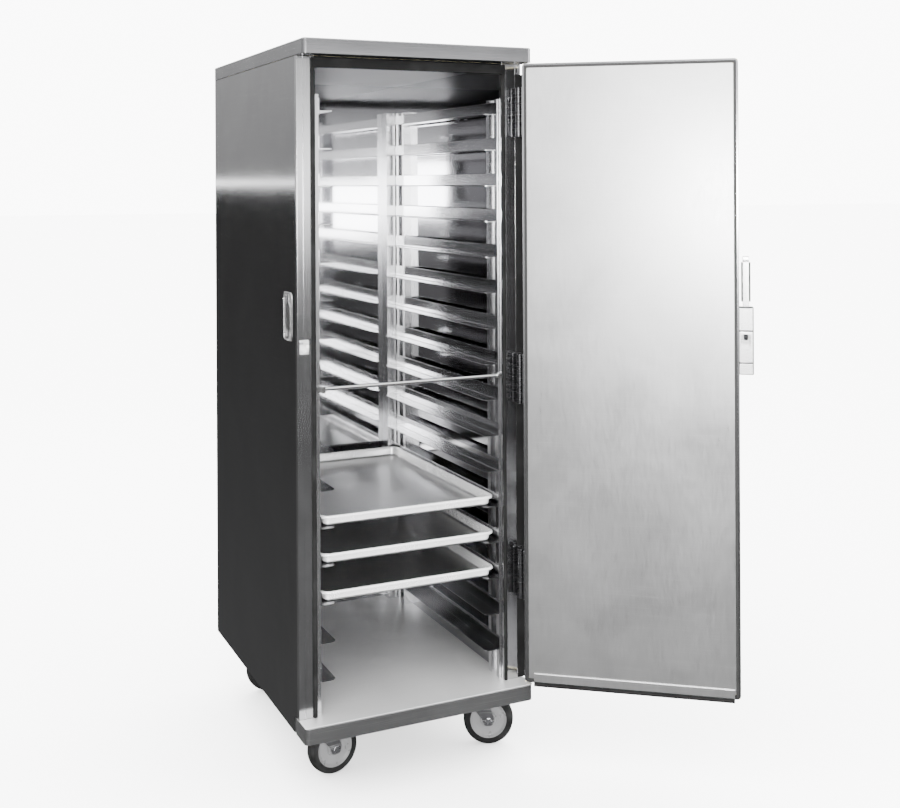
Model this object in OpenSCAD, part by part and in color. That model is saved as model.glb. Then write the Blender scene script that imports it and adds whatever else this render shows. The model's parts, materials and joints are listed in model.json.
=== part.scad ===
// Mobile proofing cabinet: an insulated stainless cabinet on four swivel
// casters, with one door on the right, a lift-out pan rack and sheet pans.
// +Z up, front towards -Y, origin on the floor under the middle of the body.

/* [Pans and rack] */
// Width of a sheet pan
pan_w = 457; // [330:1:560]
// Length of a sheet pan
pan_l = 660; // [400:1:720]
// Height of a sheet pan
pan_h = 25; // [15:1:32]
// Distance from one pair of slides to the next
row_pitch = 88.9; // [50:0.1:150]
// Height of the lowest ledge above the floor panel
first_row = 74.5; // [50:0.5:140]
// Width of the ledge that a pan rests on
ledge_w = 38; // [20:1:50]
// Height of a slide's upright flange
flange_h = 30; // [15:1:40]
// Sheet thickness of the slides and uprights
rack_t = 1.6; // [1:0.1:2.5]
// Depth of the rack uprights, across the cabinet
upright_d = 21; // [17:1:40]
// Width of the rack uprights, front to back
upright_w = 60; // [36:1:80]
// Rows that hold a pan, counted from the bottom
loaded_rows = [5, 4, 3];

/* [Cabinet] */
// Height to the top of the roof cap
total_h = 1766; // [1400:2:2200]
// Thickness of the insulated walls
wall_t = 38; // [34:1:60]
// Thickness of the outer skins
skin_t = 1.2; // [0.8:0.1:2]
// Thickness of the inner liners
liner_t = 0.9; // [0.6:0.1:1.5]
// Height of the roof cap's edge
cap_h = 36; // [25:1:60]
// How far the roof cap stands in front of the front frame
cap_front = 56; // [50:1:90]
// How far the roof cap overhangs the sides and back
cap_over = 2; // [0:0.5:10]
// Height of the base frame
base_h = 38; // [30:1:60]
// How far the base ledge stands in front of the front frame
base_front = 50; // [40:1:90]
// Thickness of the floor panel
floor_t = 2; // [1.5:0.5:4]
// Depth of the front frame's box section
jamb_d = 14; // [10:1:14]
// Height of the header over the opening
header_h = 26; // [20:1:50]

/* [Door] */
// Angle that the door stands open at rest
door_open = 142; // [0:1:180]
// Thickness of the door
door_t = 42; // [38:1:46]
// How far the door laps over each side of the opening
door_lap = 22; // [20:1:26]
// Thickness of the frame gasket, squeezed
gasket_t = 6; // [4:0.5:8]
// Height of one hinge
hinge_h = 122; // [80:2:160]
// Height of the rubber sweep along the door's foot
sweep_h = 25; // [15:1:40]
// Height of the door latch above the floor
latch_z = 1056; // [800:1:1200]

/* [Casters] */
// Diameter of the wheels
wheel_d = 127; // [100:1:150]
// Width of the wheels
wheel_w = 32; // [25:1:40]
// Distance from the swivel axis to the axle
trail = 40; // [30:1:48]
// Inset of the swivel axes from the sides
caster_x_in = 84; // [80:1:120]
// Setback of the front swivel axes from the front frame
caster_front_in = 120; // [90:1:160]
// Inset of the rear swivel axes from the back
caster_rear_in = 90; // [80:1:160]
// Way each wheel trails: front left, front right, rear left, rear right
caster_turn = [10, -25, 5, -12];

/* [Hidden] */
$fn = 48;
eps = 0.01;

// Sides and clearances of the rack
pan_side_gap = 3;
pan_front_in = 22;
pan_stop_gap = 6;
pan_stop_d = 38;
pan_rest_gap = 0.3;
opening_gap = 9.5;
latch_gap_more = 10;
flange_x = pan_w / 2 + pan_side_gap;
upright_x = flange_x + rack_t;
inner_w = 2 * (upright_x + upright_d);
inner_d = pan_front_in + pan_l + pan_stop_gap + pan_stop_d;

// Body
body_w = inner_w + 2 * wall_t;
body_d = inner_d + wall_t;
side_x = body_w / 2;
liner_x = inner_w / 2;
opening_x = pan_w / 2 + opening_gap;
latch_opening_x = opening_x + latch_gap_more;
caster_h = wheel_d + 30;
base_top = caster_h + base_h;
floor_z = base_top + floor_t;
cap_z = total_h - cap_h;
ceiling_z = total_h - wall_t - skin_t - liner_t;
header_z = cap_z - header_h;
rear_y = body_d;
front_y = -body_d / 2;
rail_w = 32;
rail_t = 2;

// Rack rows, the first at the bottom
row_bottom = floor_z + first_row;
row_headroom = 62;
rows = floor((ceiling_z - row_headroom - row_bottom) / row_pitch) + 1;
function row_z(row) = row_bottom + (row - 1) * row_pitch;
slide_front = 14;
slide_rear = pan_front_in + pan_l + pan_stop_gap - 2;
slide_l = slide_rear - slide_front;
ledge_chamfer = 12;
upright_front = jamb_d + 2;
upright_bottom = floor_z;
upright_top = row_z(rows) + flange_h + 8;
upright_lip = 16;
slot_w = 6;
slot_h = 14;
rear_upright = slide_rear - upright_w - 4;
stop_w = 33;
stop_x = 204 + (pan_w - 457) / 2;
tie_r = 5;
tie_y = 8;
tie_row = min(9, rows);
tie_z = row_z(tie_row) - 28;
fork_w = 7;
fork_arm = 4;

// Door, in the closed place; the hinge line stands beside its right edge
door_x = opening_x + door_lap;
door_foot_gap = 10;
door_head_gap = 3;
door_z0 = base_top + door_foot_gap;
door_z1 = cap_z - door_head_gap;
door_in = -gasket_t;
door_out = -gasket_t - door_t;
edge_flange = 5;
breaker_w = 6;
panel_t = 2;
hinge_out = 12;
hinge_x = door_x + hinge_out;
hinge_y = (door_in + door_out) / 2;
hinge_r = 7.5;
pin_r = 3;
pin_clear = 0.05;
leaf_t = 2.5;
leaf_y = 3;
knuckle_gap = 0.4;
knuckle_h = (hinge_h - 2 * knuckle_gap) / 3;
hinge_levels = [door_z1 - 118, door_z0 + 743, door_z0 + 261];
leaf_screw_z = [-hinge_h / 2 + 12, -hinge_h / 6 - 4, hinge_h / 6 + 4, hinge_h / 2 - 12];
screw_r = 2.4;
screw_hole_r = 2.6;
screw_head_r = 4;
screw_head_h = 2;
screw_l = 9;

// Latch: a box on the door's free edge, with a bolt that drops behind the strike
latch_w = side_x - door_x - 1.1;
latch_x0 = -door_x - latch_w;
latch_mid = latch_x0 + latch_w / 2;
latch_in = -5;
latch_out = door_out - 12;
latch_bottom = latch_z - 78;
latch_top = latch_z + 78;
latch_wall = 3;
bolt_w = 10;
bolt_t = 6;
bolt_y = -19;
bolt_z = latch_z + 1.5;
bolt_top = latch_z + 58;
bolt_fit = 0.35;
guide_z0 = latch_z + 14;
guide_z1 = latch_z + 38;
pivot_y = latch_out + 10;
pivot_z = latch_z + 52;
pivot_r = 3;
lever_w = 15;
lever_t = 8;
lever_top = latch_z + 198;
lever_play = 1;
toe_w = 4;
toe_t = 5;
toe_gap = 1.2;
strike_w = 22;
strike_h = 33;
hook_w = 6;
hook_out = 24;
strike_t = 2;
strike_screws = [[-7, 10], [7, -10]];
leaf_screw_x = (hinge_x + side_x) / 2 + 2;

// Recessed pull in the left wall
pull_y = 72;
pull_z = 1121;
pull_w = 60;
pull_h = 106;
pull_rim = 5;
pull_deep = 22;
pull_t = 1.5;
grip_w = 30;
grip_t = 6;

// Casters, heights up from the floor
axle_z = wheel_d / 2;
hub_r = axle_z - 13;
plate_w = 104;
plate_d = 88;
plate_t = 4;
bolt_x = 38;
bolt_in = 30;
caster_bolt_r = 4;
race_r = 28;
race_h = 7;
ball_r = 1.7;
ball_gap = 0.3;
crown_r = 33;
crown_z0 = wheel_d + 4;
crown_z1 = caster_h - plate_t - race_h - 2 * (ball_r + ball_gap);
kingpin_r = 6;
leg_gap = 2.5;
leg_t = 3;
leg_in = wheel_w / 2 + leg_gap;
axle_r = 5;
axle_head = 5;
hub_boss = 18;
web_in = 7;
tread_r = 4;
caster_places = [
    [-side_x + caster_x_in, caster_front_in], [side_x - caster_x_in, caster_front_in],
    [-side_x + caster_x_in, rear_y - caster_rear_in], [side_x - caster_x_in, rear_y - caster_rear_in]];

// ---------------------------------------------------------------- helpers

// Moves what is drawn from the front frame's plane to the part's own frame.
module placed() {
    translate([0, front_y, 0]) children();
}

// A block from its lowest to its highest corner.
module block(low, high) {
    translate(low) cube(high - low);
}

// A rectangle with round corners, centred, from exact circles and squares.
module round_rect(w, d, r) {
    square([w - 2 * r, d], center = true);
    square([w, d - 2 * r], center = true);
    for (x = [-1, 1], y = [-1, 1]) {
        translate([x * (w / 2 - r), y * (d / 2 - r)]) circle(r);
    }
}

// Turns what is drawn for the closed door to the angle it rests at.
module on_door() {
    placed() translate([hinge_x, hinge_y, 0]) rotate(door_open)
        translate([-hinge_x, -hinge_y, 0]) children();
}

// A round-headed screw along +Y, its head towards -Y, under the head at y = 0.
module screw(l = screw_l) {
    rotate([-90, 0, 0]) {
        cylinder(r = screw_r, h = l);
        translate([0, 0, -screw_head_h]) cylinder(r = screw_head_r, h = screw_head_h);
    }
}

// The drilled hole for such a screw.
module screw_hole() {
    rotate([-90, 0, 0]) translate([0, 0, -20]) cylinder(r = screw_hole_r, h = 40);
}

// ------------------------------------------------------------------- base

// Folded box along the front, which carries the ledge under the door.
module base_front_rail() {
    color("dimgray") placed() difference() {
        block([-side_x, -base_front, caster_h], [side_x, rail_w, base_top]);
        block([-side_x + rail_t, -base_front + rail_t, caster_h - 1],
            [side_x - rail_t, rail_w - rail_t, base_top - rail_t]);
    }
}

// Box-section rails along both sides and the back.
module base_rails() {
    color("dimgray") placed() {
        for (s = [0, 1]) mirror([s, 0, 0]) difference() {
            block([side_x - skin_t - rail_w, rail_w, caster_h],
                [side_x - skin_t, rear_y - rail_w, base_top]);
            block([side_x - skin_t - rail_w + rail_t, rail_w - 1, caster_h + rail_t],
                [side_x - skin_t - rail_t, rear_y - rail_w + 1, base_top - rail_t]);
        }
        difference() {
            block([-side_x + skin_t, rear_y - rail_w, caster_h],
                [side_x - skin_t, rear_y - skin_t, base_top]);
            block([-side_x, rear_y - rail_w + rail_t, caster_h + rail_t],
                [side_x, rear_y - skin_t - rail_t, base_top - rail_t]);
        }
    }
}

// Cross channels that the caster plates bolt to.
module caster_channels() {
    reach = side_x - skin_t - rail_w;
    half = plate_d / 2 + 12;
    color("gray") placed() for (y = [caster_front_in, rear_y - caster_rear_in]) difference() {
        block([-reach, y - half, caster_h], [reach, y + half, base_top]);
        block([-reach - 1, y - half + rail_t, caster_h + rail_t + 1],
            [reach + 1, y + half - rail_t, base_top + 1]);
        for (p = caster_places) if (p[1] == y) caster_bolt_holes(p);
    }
}

module caster_bolt_holes(p) {
    for (x = [-bolt_x, bolt_x], y = [-bolt_in, bolt_in]) {
        translate([p[0] + x, p[1] + y, caster_h - 20]) cylinder(r = caster_bolt_r + 0.25, h = 40);
    }
}

// Floor sheet, one piece with the ledge's top.
module floor_panel() {
    color("silver") placed() {
        block([-side_x, -base_front, base_top], [side_x, 0, floor_z]);
        block([-liner_x, -eps, base_top], [liner_x, rear_y - wall_t, floor_z]);
    }
}

// ------------------------------------------------------------------ shell

// The outer sheet of one side; the left one has the hole for the pull.
module side_panel(pull) {
    difference() {
        block([side_x - skin_t, jamb_d, caster_h], [side_x, rear_y, cap_z]);
        block([side_x - skin_t - 1, jamb_d - 1, caster_h - 1],
            [side_x + 1, rail_w, base_top + eps]);
        if (pull) pull_hole(pull_w + 2 * pull_t);
    }
}

// The pocket of the pull, drawn on the right and mirrored to the left.
module pull_hole(w) {
    h = pull_h + w - pull_w;
    block([side_x - pull_deep - pull_t - 1, pull_y - w / 2, pull_z - h / 2],
        [side_x + 20, pull_y + w / 2, pull_z + h / 2]);
}

module left_outer_panel() {
    color([0.30, 0.30, 0.31]) placed() mirror([1, 0, 0]) side_panel(true);
}

module right_outer_panel() {
    color([0.30, 0.30, 0.31]) placed() side_panel(false);
}

module rear_outer_panel() {
    color([0.30, 0.30, 0.31]) placed()
        block([-side_x + skin_t, rear_y - skin_t, caster_h], [side_x - skin_t, rear_y, cap_z]);
}

// Roof sheet folded down on four sides.
module roof_cap() {
    color([0.49, 0.49, 0.50]) placed() difference() {
        block([-side_x - cap_over, -cap_front, cap_z], [side_x + cap_over, rear_y + cap_over, total_h]);
        block([-side_x + skin_t, 0, cap_z - 1],
            [side_x - skin_t, rear_y - skin_t, total_h - skin_t]);
        block([-side_x - cap_over + skin_t, -cap_front + skin_t, cap_z + skin_t],
            [side_x + cap_over - skin_t, -skin_t, total_h - skin_t]);
    }
}

module side_liners() {
    color("silver") placed() for (s = [0, 1]) mirror([s, 0, 0])
        block([liner_x, jamb_d, base_top], [liner_x + liner_t, rear_y - wall_t, ceiling_z]);
}

module rear_liner() {
    color("silver") placed() block([-liner_x - liner_t, rear_y - wall_t, base_top],
        [liner_x + liner_t, rear_y - wall_t + liner_t, ceiling_z]);
}

module ceiling_liner() {
    color("silver") placed() block([-liner_x - liner_t, jamb_d, ceiling_z],
        [liner_x + liner_t, rear_y - wall_t + liner_t, ceiling_z + liner_t]);
}

// Rigid foam boards inside both sides, the back and the roof.
module insulation() {
    color("khaki") placed() {
        block([liner_x + liner_t, jamb_d, base_top],
            [side_x - skin_t, rear_y - skin_t, cap_z]);
        mirror([1, 0, 0]) difference() {
            block([liner_x + liner_t, jamb_d, base_top],
                [side_x - skin_t, rear_y - skin_t, cap_z]);
            pull_hole(pull_w + 2 * pull_t + 2);
        }
        block([-liner_x - liner_t, rear_y - wall_t + liner_t, base_top],
            [liner_x + liner_t, rear_y - skin_t, ceiling_z]);
        block([-liner_x - liner_t, jamb_d, ceiling_z + liner_t],
            [liner_x + liner_t, rear_y - skin_t, total_h - skin_t]);
    }
}

// ------------------------------------------------------------ front frame

// Box-section post beside the opening, with a pressed line down its face.
module jamb(inner_x) {
    face = side_x - door_x;
    groove = 1.2;
    difference() {
        block([inner_x, 0, floor_z], [side_x, jamb_d, cap_z]);
        block([inner_x + skin_t, skin_t + groove, floor_z - 1],
            [side_x - skin_t, jamb_d - skin_t, cap_z + 1]);
        translate([side_x - face / 2, 0, floor_z - 1]) linear_extrude(cap_z)
            polygon([[-groove, -1], [-groove, 0], [0, groove], [groove, 0], [groove, -1]]);
    }
}

module latch_jamb() {
    color("lightgray") placed() difference() {
        mirror([1, 0, 0]) jamb(latch_opening_x);
        at_strike_screws() screw_hole();
    }
}

module hinge_jamb() {
    color("lightgray") placed() difference() {
        jamb(opening_x);
        for (level = hinge_levels, z = leaf_screw_z) {
            translate([leaf_screw_x, 0, level + z]) screw_hole();
        }
    }
}

module header() {
    color("dimgray") placed() difference() {
        block([-latch_opening_x, 0, header_z], [opening_x, jamb_d, cap_z]);
        block([-latch_opening_x - 1, skin_t, header_z + skin_t],
            [opening_x + 1, jamb_d - skin_t, cap_z - skin_t]);
    }
}

// Black rubber strips that the door closes against: both jambs and the header.
module frame_gasket() {
    latch_side_x = -door_x + 2;
    hinge_side_w = 8;
    color([0.08, 0.08, 0.08]) placed() {
        block([latch_side_x, -gasket_t, floor_z + 1], [-latch_opening_x, 0, header_z]);
        block([opening_x, -gasket_t, floor_z + 1], [opening_x + hinge_side_w, 0, header_z]);
        block([latch_side_x, -gasket_t, header_z],
            [opening_x + hinge_side_w, 0, cap_z - 3]);
    }
}

// ------------------------------------------------------------------- rack

// Lipped channel, its mouth towards the pans, with a slot for each slide hook.
module upright(y) {
    d = upright_d;
    w = upright_w;
    t = rack_t;
    difference() {
        translate([upright_x, y, upright_bottom]) linear_extrude(upright_top - upright_bottom)
            difference() {
                square([d, w]);
                translate([t, t]) square([d - 2 * t, w - 2 * t]);
                translate([-1, upright_lip]) square([t + 2, w - 2 * upright_lip]);
            }
        for (row = [1 : rows], s = [0, 1]) {
            translate([upright_x - 1, y + (upright_lip - slot_w) / 2 + s * (w - upright_lip),
                row_z(row) + 4]) cube([t + 2, slot_w, slot_h]);
        }
    }
}

module rack_uprights() {
    color("gainsboro") placed() for (s = [0, 1], y = [upright_front, rear_upright]) {
        mirror([s, 0, 0]) upright(y);
    }
}

// Flat channels up the back wall, which stop the pans.
module rear_pan_stops() {
    stop_z = upright_bottom;
    color("darkgray") placed() for (s = [0, 1]) mirror([s, 0, 0]) difference() {
        block([stop_x, rear_y - wall_t - pan_stop_d, stop_z],
            [stop_x + stop_w, rear_y - wall_t, upright_top]);
        block([stop_x + rack_t, rear_y - wall_t - pan_stop_d + rack_t, stop_z - 1],
            [stop_x + stop_w - rack_t, rear_y - wall_t + 1, upright_top + 1]);
    }
}

// One angle slide: a ledge with a cut front corner and a flange behind it.
module slide(row) {
    z = row_z(row);
    inner = upright_x - ledge_w;
    translate([0, slide_front, z - rack_t]) linear_extrude(rack_t) polygon([
        [upright_x, 0], [upright_x, slide_l], [inner + ledge_chamfer, slide_l],
        [inner, slide_l - ledge_chamfer], [inner, ledge_chamfer], [inner + ledge_chamfer, 0]]);
    block([flange_x, slide_front, z - rack_t], [upright_x, slide_rear, z + flange_h]);
}

module pan_slides() {
    color("whitesmoke") placed() for (s = [0, 1], row = [1 : rows]) mirror([s, 0, 0]) slide(row);
}

// Round bar across the front of the rack, held in a fork at each end.
module rack_tie_bar() {
    color("white") placed() translate([-flange_x + 1, tie_y, tie_z])
        rotate([0, 90, 0]) cylinder(r = tie_r, h = 2 * flange_x - 2);
}

module tie_bar_forks() {
    out_y = tie_y - tie_r - fork_arm;
    color("gray") placed() for (s = [0, 1]) mirror([s, 0, 0]) difference() {
        union() {
            block([flange_x - fork_w, out_y, tie_z - tie_r - fork_arm],
                [flange_x, upright_front, tie_z + tie_r]);
            block([flange_x - eps, jamb_d, tie_z - tie_r - fork_arm],
                [upright_x + upright_d / 2, upright_front, tie_z + tie_r]);
        }
        translate([0, tie_y, tie_z]) rotate([0, 90, 0]) cylinder(r = tie_r, h = flange_x - 1);
        block([0, tie_y - tie_r, tie_z], [flange_x - 1, tie_y + tie_r, tie_z + 20]);
    }
}

// Sheet pan with rounded corners and a rolled rim.
module sheet_pan(row) {
    corner = 18;
    sheet = 1.6;
    rim_w = 7;
    rim_h = 5;
    place = [0, pan_front_in + pan_l / 2, row_z(row) + pan_rest_gap];
    color("lightgray") placed() translate(place) difference() {
        union() {
            linear_extrude(pan_h) round_rect(pan_w - 2 * rim_w, pan_l - 2 * rim_w, corner);
            translate([0, 0, pan_h - rim_h]) linear_extrude(rim_h)
                round_rect(pan_w, pan_l, corner + rim_w);
        }
        translate([0, 0, sheet]) linear_extrude(pan_h)
            round_rect(pan_w - 2 * (rim_w + sheet), pan_l - 2 * (rim_w + sheet), corner - sheet);
    }
}

module sheet_pan_1() {
    sheet_pan(loaded_rows[0]);
}

module sheet_pan_2() {
    sheet_pan(loaded_rows[1]);
}

module sheet_pan_3() {
    sheet_pan(loaded_rows[2]);
}

// -------------------------------------------------- strike and side pull

module at_strike_screws() {
    for (p = strike_screws) translate([latch_mid + p[0], 0, latch_z + p[1]]) children();
}

// Plate on the latch jamb, with a ramped hook that the bolt drops behind.
module latch_strike() {
    color("white") placed() difference() {
        union() {
            block([latch_mid - strike_w / 2, -strike_t, latch_z - strike_h / 2],
                [latch_mid + strike_w / 2, 0, latch_z + strike_h / 2]);
            translate([latch_mid - hook_w / 2, 0, latch_z]) rotate([90, 0, 90])
                linear_extrude(hook_w) polygon([
                    [-strike_t, 0], [bolt_y - 1, 0], [bolt_y - 1, 7], [bolt_y - 2.5, 7],
                    [-hook_out, 1], [-hook_out, -8], [-strike_t, -12]]);
        }
        at_strike_screws() screw_hole();
    }
}

// Dish let into the left wall, with a rim on the outer sheet.
module side_pull_dish() {
    color("gray") placed() mirror([1, 0, 0]) difference() {
        union() {
            block([side_x, pull_y - pull_w / 2 - pull_rim, pull_z - pull_h / 2 - pull_rim],
                [side_x + pull_t, pull_y + pull_w / 2 + pull_rim, pull_z + pull_h / 2 + pull_rim]);
            block([side_x - pull_deep - pull_t, pull_y - pull_w / 2 - pull_t, pull_z - pull_h / 2 - pull_t],
                [side_x + eps, pull_y + pull_w / 2 + pull_t, pull_z + pull_h / 2 + pull_t]);
        }
        block([side_x - pull_deep, pull_y - pull_w / 2, pull_z - pull_h / 2],
            [side_x + 9, pull_y + pull_w / 2, pull_z + pull_h / 2]);
    }
}

// Flat grip that stands across the dish from top to bottom.
module side_pull_grip() {
    post_w = 10;
    grip_h = 64;
    x = side_x - grip_t;
    color("white") placed() mirror([1, 0, 0]) {
        block([x, pull_y - grip_w / 2, pull_z - grip_h / 2],
            [x + grip_t, pull_y + grip_w / 2, pull_z + grip_h / 2]);
        block([x, pull_y - post_w / 2, pull_z - pull_h / 2],
            [x + grip_t, pull_y + post_w / 2, pull_z + pull_h / 2]);
    }
}

// ----------------------------------------------------------------- hinges

// One knuckle around the hinge line, from z0 to z1.
module knuckle(z0, z1, bore) {
    translate([hinge_x, hinge_y, z0]) difference() {
        cylinder(r = hinge_r, h = z1 - z0);
        translate([0, 0, -1]) cylinder(r = bore, h = z1 - z0 + 2);
    }
}

// Fixed leaf: a plate on the jamb with the upper and lower knuckles.
module frame_leaf(level) {
    low = level - hinge_h / 2;
    ends = [[low, low + knuckle_h], [low + 2 * (knuckle_h + knuckle_gap), low + hinge_h]];
    difference() {
        union() {
            block([hinge_x - 6, -leaf_y, low], [side_x - 1, 0, low + hinge_h]);
            for (e = ends) {
                knuckle(e[0], e[1], pin_r);
                difference() {
                    block([hinge_x - 4, hinge_y, e[0]], [hinge_x + hinge_r, -leaf_y + eps, e[1]]);
                    translate([hinge_x, hinge_y, e[0] - 1])
                        cylinder(r = pin_r + 1, h = knuckle_h + 2);
                }
            }
        }
        for (z = leaf_screw_z) translate([leaf_screw_x, 0, level + z]) screw_hole();
    }
}

module hinge_frame_leaves() {
    color("gray") placed() for (level = hinge_levels) frame_leaf(level);
}

// Moving leaf: a plate on the door's edge with the middle knuckle.
module door_leaf(level) {
    z0 = level - knuckle_h / 2;
    z1 = level + knuckle_h / 2;
    knuckle(z0, z1, pin_r + pin_clear);
    difference() {
        union() {
            block([door_x, door_out + 4, level - hinge_h / 2],
                [door_x + leaf_t, door_in - 4, level + hinge_h / 2]);
            block([door_x + eps, hinge_y - 2, z0], [hinge_x, hinge_y + 2, z1]);
        }
        translate([hinge_x, hinge_y, z0 - 1]) cylinder(r = pin_r + 1, h = z1 - z0 + 2);
    }
}

module hinge_door_leaves() {
    color("gray") on_door() for (level = hinge_levels) door_leaf(level);
}

// Pins, held in the fixed knuckles, with a flat head on top.
module hinge_pins() {
    head = 2;
    color("black") placed() for (level = hinge_levels) translate([hinge_x, hinge_y, level - hinge_h / 2]) {
        cylinder(r = pin_r, h = hinge_h + eps);
        translate([0, 0, hinge_h]) cylinder(r = hinge_r - 1, h = head);
    }
}

// ------------------------------------------------------------------- door

module door_outer_skin() {
    color("silver") on_door() difference() {
        block([-door_x, door_out, door_z0], [door_x, door_in - panel_t, door_z1]);
        block([-door_x + skin_t, door_out + skin_t, door_z0 + skin_t],
            [door_x - skin_t, door_in - panel_t - skin_t, door_z1 - skin_t]);
        block([-door_x + edge_flange, door_in - panel_t - 2 * skin_t, door_z0 + edge_flange],
            [door_x - edge_flange, door_in, door_z1 - edge_flange]);
    }
}

// Plate on the cabinet side of the door.
module door_inner_panel() {
    edge = edge_flange + breaker_w;
    color("whitesmoke") on_door() block([-door_x + edge, door_in - panel_t, door_z0 + edge],
        [door_x - edge, door_in, door_z1 - edge]);
}

module door_core() {
    gap = 0.2;
    color("khaki") on_door() block([-door_x + skin_t + gap, door_out + skin_t, door_z0 + skin_t + gap],
        [door_x - skin_t - gap, door_in - panel_t - skin_t, door_z1 - skin_t - gap]);
}

// Black strip that keeps the two skins apart all round the door.
module door_edge_breaker() {
    edge = edge_flange + breaker_w;
    color([0.08, 0.08, 0.08]) on_door() difference() {
        block([-door_x + edge_flange, door_in - panel_t - skin_t, door_z0 + edge_flange],
            [door_x - edge_flange, door_in - 0.5, door_z1 - edge_flange]);
        block([-door_x + edge, door_in - panel_t - 5, door_z0 + edge],
            [door_x - edge, door_in + 1, door_z1 - edge]);
    }
}

// Rubber blade along the foot of the door, which wipes the base ledge.
module door_sweep() {
    thick = 4;
    ledge_gap = 1;
    edge = edge_flange + 1;
    color([0.08, 0.08, 0.08]) on_door() block([-latch_opening_x + 2, door_in, floor_z + ledge_gap],
        [opening_x - 2, door_in + thick, floor_z + ledge_gap + sweep_h + edge]);
}

// ------------------------------------------------------------------ latch

// Hollow case with a pocket for the strike and a guide for the bolt.
module latch_body() {
    w = latch_wall;
    color("gainsboro") on_door() difference() {
        union() {
            difference() {
                block([latch_x0, latch_out, latch_bottom], [-door_x, latch_in, latch_top]);
                block([latch_x0 + w, latch_out + w, latch_bottom + w],
                    [-door_x - w, latch_in - w, latch_top - w]);
            }
            block([latch_x0 + eps, bolt_y - 5, guide_z0], [-door_x - eps, latch_in - eps, guide_z1]);
        }
        block([latch_mid - bolt_w / 2 - bolt_fit, bolt_y - bolt_fit, guide_z0 - 1],
            [latch_mid + bolt_w / 2 + bolt_fit, bolt_y + bolt_t + bolt_fit, guide_z1 + 1]);
        block([latch_mid - strike_w / 2 - 1, latch_in - w - 1, latch_z - strike_h / 2 - 1],
            [latch_mid + strike_w / 2 + 1, 0, guide_z0]);
        block([latch_mid - lever_w / 2 - lever_play, latch_out - 1, pivot_z - 14],
            [latch_mid + lever_w / 2 + lever_play, pivot_y + 6, latch_top + 1]);
        translate([latch_x0 - 1, pivot_y, pivot_z]) rotate([0, 90, 0])
            cylinder(r = pivot_r, h = latch_w + 2);
    }
}

module latch_pivot_pin() {
    color("darkgray") on_door() translate([latch_x0, pivot_y, pivot_z]) rotate([0, 90, 0])
        cylinder(r = pivot_r, h = latch_w);
}

// Lever with its boss on the pin and a toe that reaches under the bolt's window.
module latch_handle() {
    boss_r = 7;
    toe_end = bolt_y + bolt_t + 1;
    color("white") on_door() difference() {
        union() {
            block([latch_mid - lever_w / 2, pivot_y - boss_r, pivot_z],
                [latch_mid + lever_w / 2, pivot_y - boss_r + lever_t, lever_top - 10]);
            block([latch_mid - lever_w / 2, pivot_y - boss_r - 4, lever_top - 10],
                [latch_mid + lever_w / 2, pivot_y - boss_r + lever_t + 4, lever_top]);
            translate([latch_mid - lever_w / 2, pivot_y, pivot_z]) rotate([0, 90, 0])
                cylinder(r = boss_r, h = lever_w);
            block([latch_mid - toe_w / 2, pivot_y, pivot_z - toe_t],
                [latch_mid + toe_w / 2, toe_end, pivot_z]);
        }
        translate([latch_x0, pivot_y, pivot_z]) rotate([0, 90, 0])
            cylinder(r = pivot_r + pin_clear, h = latch_w);
    }
}

// Dark moulded pad on the outside of the lever.
module latch_grip() {
    pad_t = 5;
    color([0.1, 0.1, 0.1]) on_door() block([latch_mid - lever_w / 2, pivot_y - 7 - pad_t, latch_top + 12],
        [latch_mid + lever_w / 2, pivot_y - 7, lever_top - 14]);
}

// Flat bolt with a window for the lever's toe.
module latch_bolt() {
    window_up = toe_gap;
    window_down = 4;
    color("black") on_door() difference() {
        block([latch_mid - bolt_w / 2, bolt_y, bolt_z],
            [latch_mid + bolt_w / 2, bolt_y + bolt_t, bolt_top]);
        block([latch_mid - toe_w / 2 - 1, bolt_y - 1, pivot_z - toe_t - window_down],
            [latch_mid + toe_w / 2 + 1, bolt_y + bolt_t + 1, pivot_z + window_up]);
    }
}

// Coil spring that presses the bolt down, as a stack of turns.
module latch_spring() {
    wire_r = 0.7;
    coil_r = 3.4;
    turns = 5;
    low = bolt_top + wire_r + 0.1;
    high = latch_top - latch_wall - wire_r - 0.1;
    color("silver") on_door() translate([latch_mid, bolt_y + bolt_t / 2, 0]) {
        for (i = [0 : turns - 1]) translate([0, 0, low + i * (high - low) / (turns - 1)])
            rotate_extrude() translate([coil_r, 0]) circle(wire_r);
        translate([coil_r, 0, low]) cylinder(r = wire_r / 2, h = high - low);
    }
}

// Screws of the hinge leaves and the strike, all of one size.
module small_screws() {
    color("silver") placed() {
        for (level = hinge_levels, z = leaf_screw_z) {
            translate([leaf_screw_x, -leaf_y, level + z]) screw();
        }
        at_strike_screws() translate([0, -strike_t, 0]) screw();
    }
}

// ---------------------------------------------------------------- casters

// Puts what is drawn for caster n, trailing along +X, at its place and turn.
module at_caster(n) {
    placed() translate([caster_places[n][0], caster_places[n][1], 0])
        rotate(caster_turn[n]) children();
}

// Fixed plate, upper race, ball ring and kingpin of each caster.
module caster_plates() {
    color("darkgray") placed() for (p = caster_places) {
        difference() {
            translate([p[0] - plate_w / 2, p[1] - plate_d / 2, caster_h - plate_t])
                cube([plate_w, plate_d, plate_t]);
            caster_bolt_holes(p);
        }
        translate([p[0], p[1], caster_h - plate_t - race_h]) cylinder(r = race_r, h = race_h + eps);
        translate([p[0], p[1], crown_z1 + ball_r + ball_gap]) rotate_extrude()
            translate([race_r - 6, 0]) circle(ball_r);
        translate([p[0], p[1], crown_z0 - 6]) {
            cylinder(r = kingpin_r, h = caster_h - plate_t - crown_z0 + 6);
            cylinder(r = kingpin_r + 3, h = 5);
        }
    }
}

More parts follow.
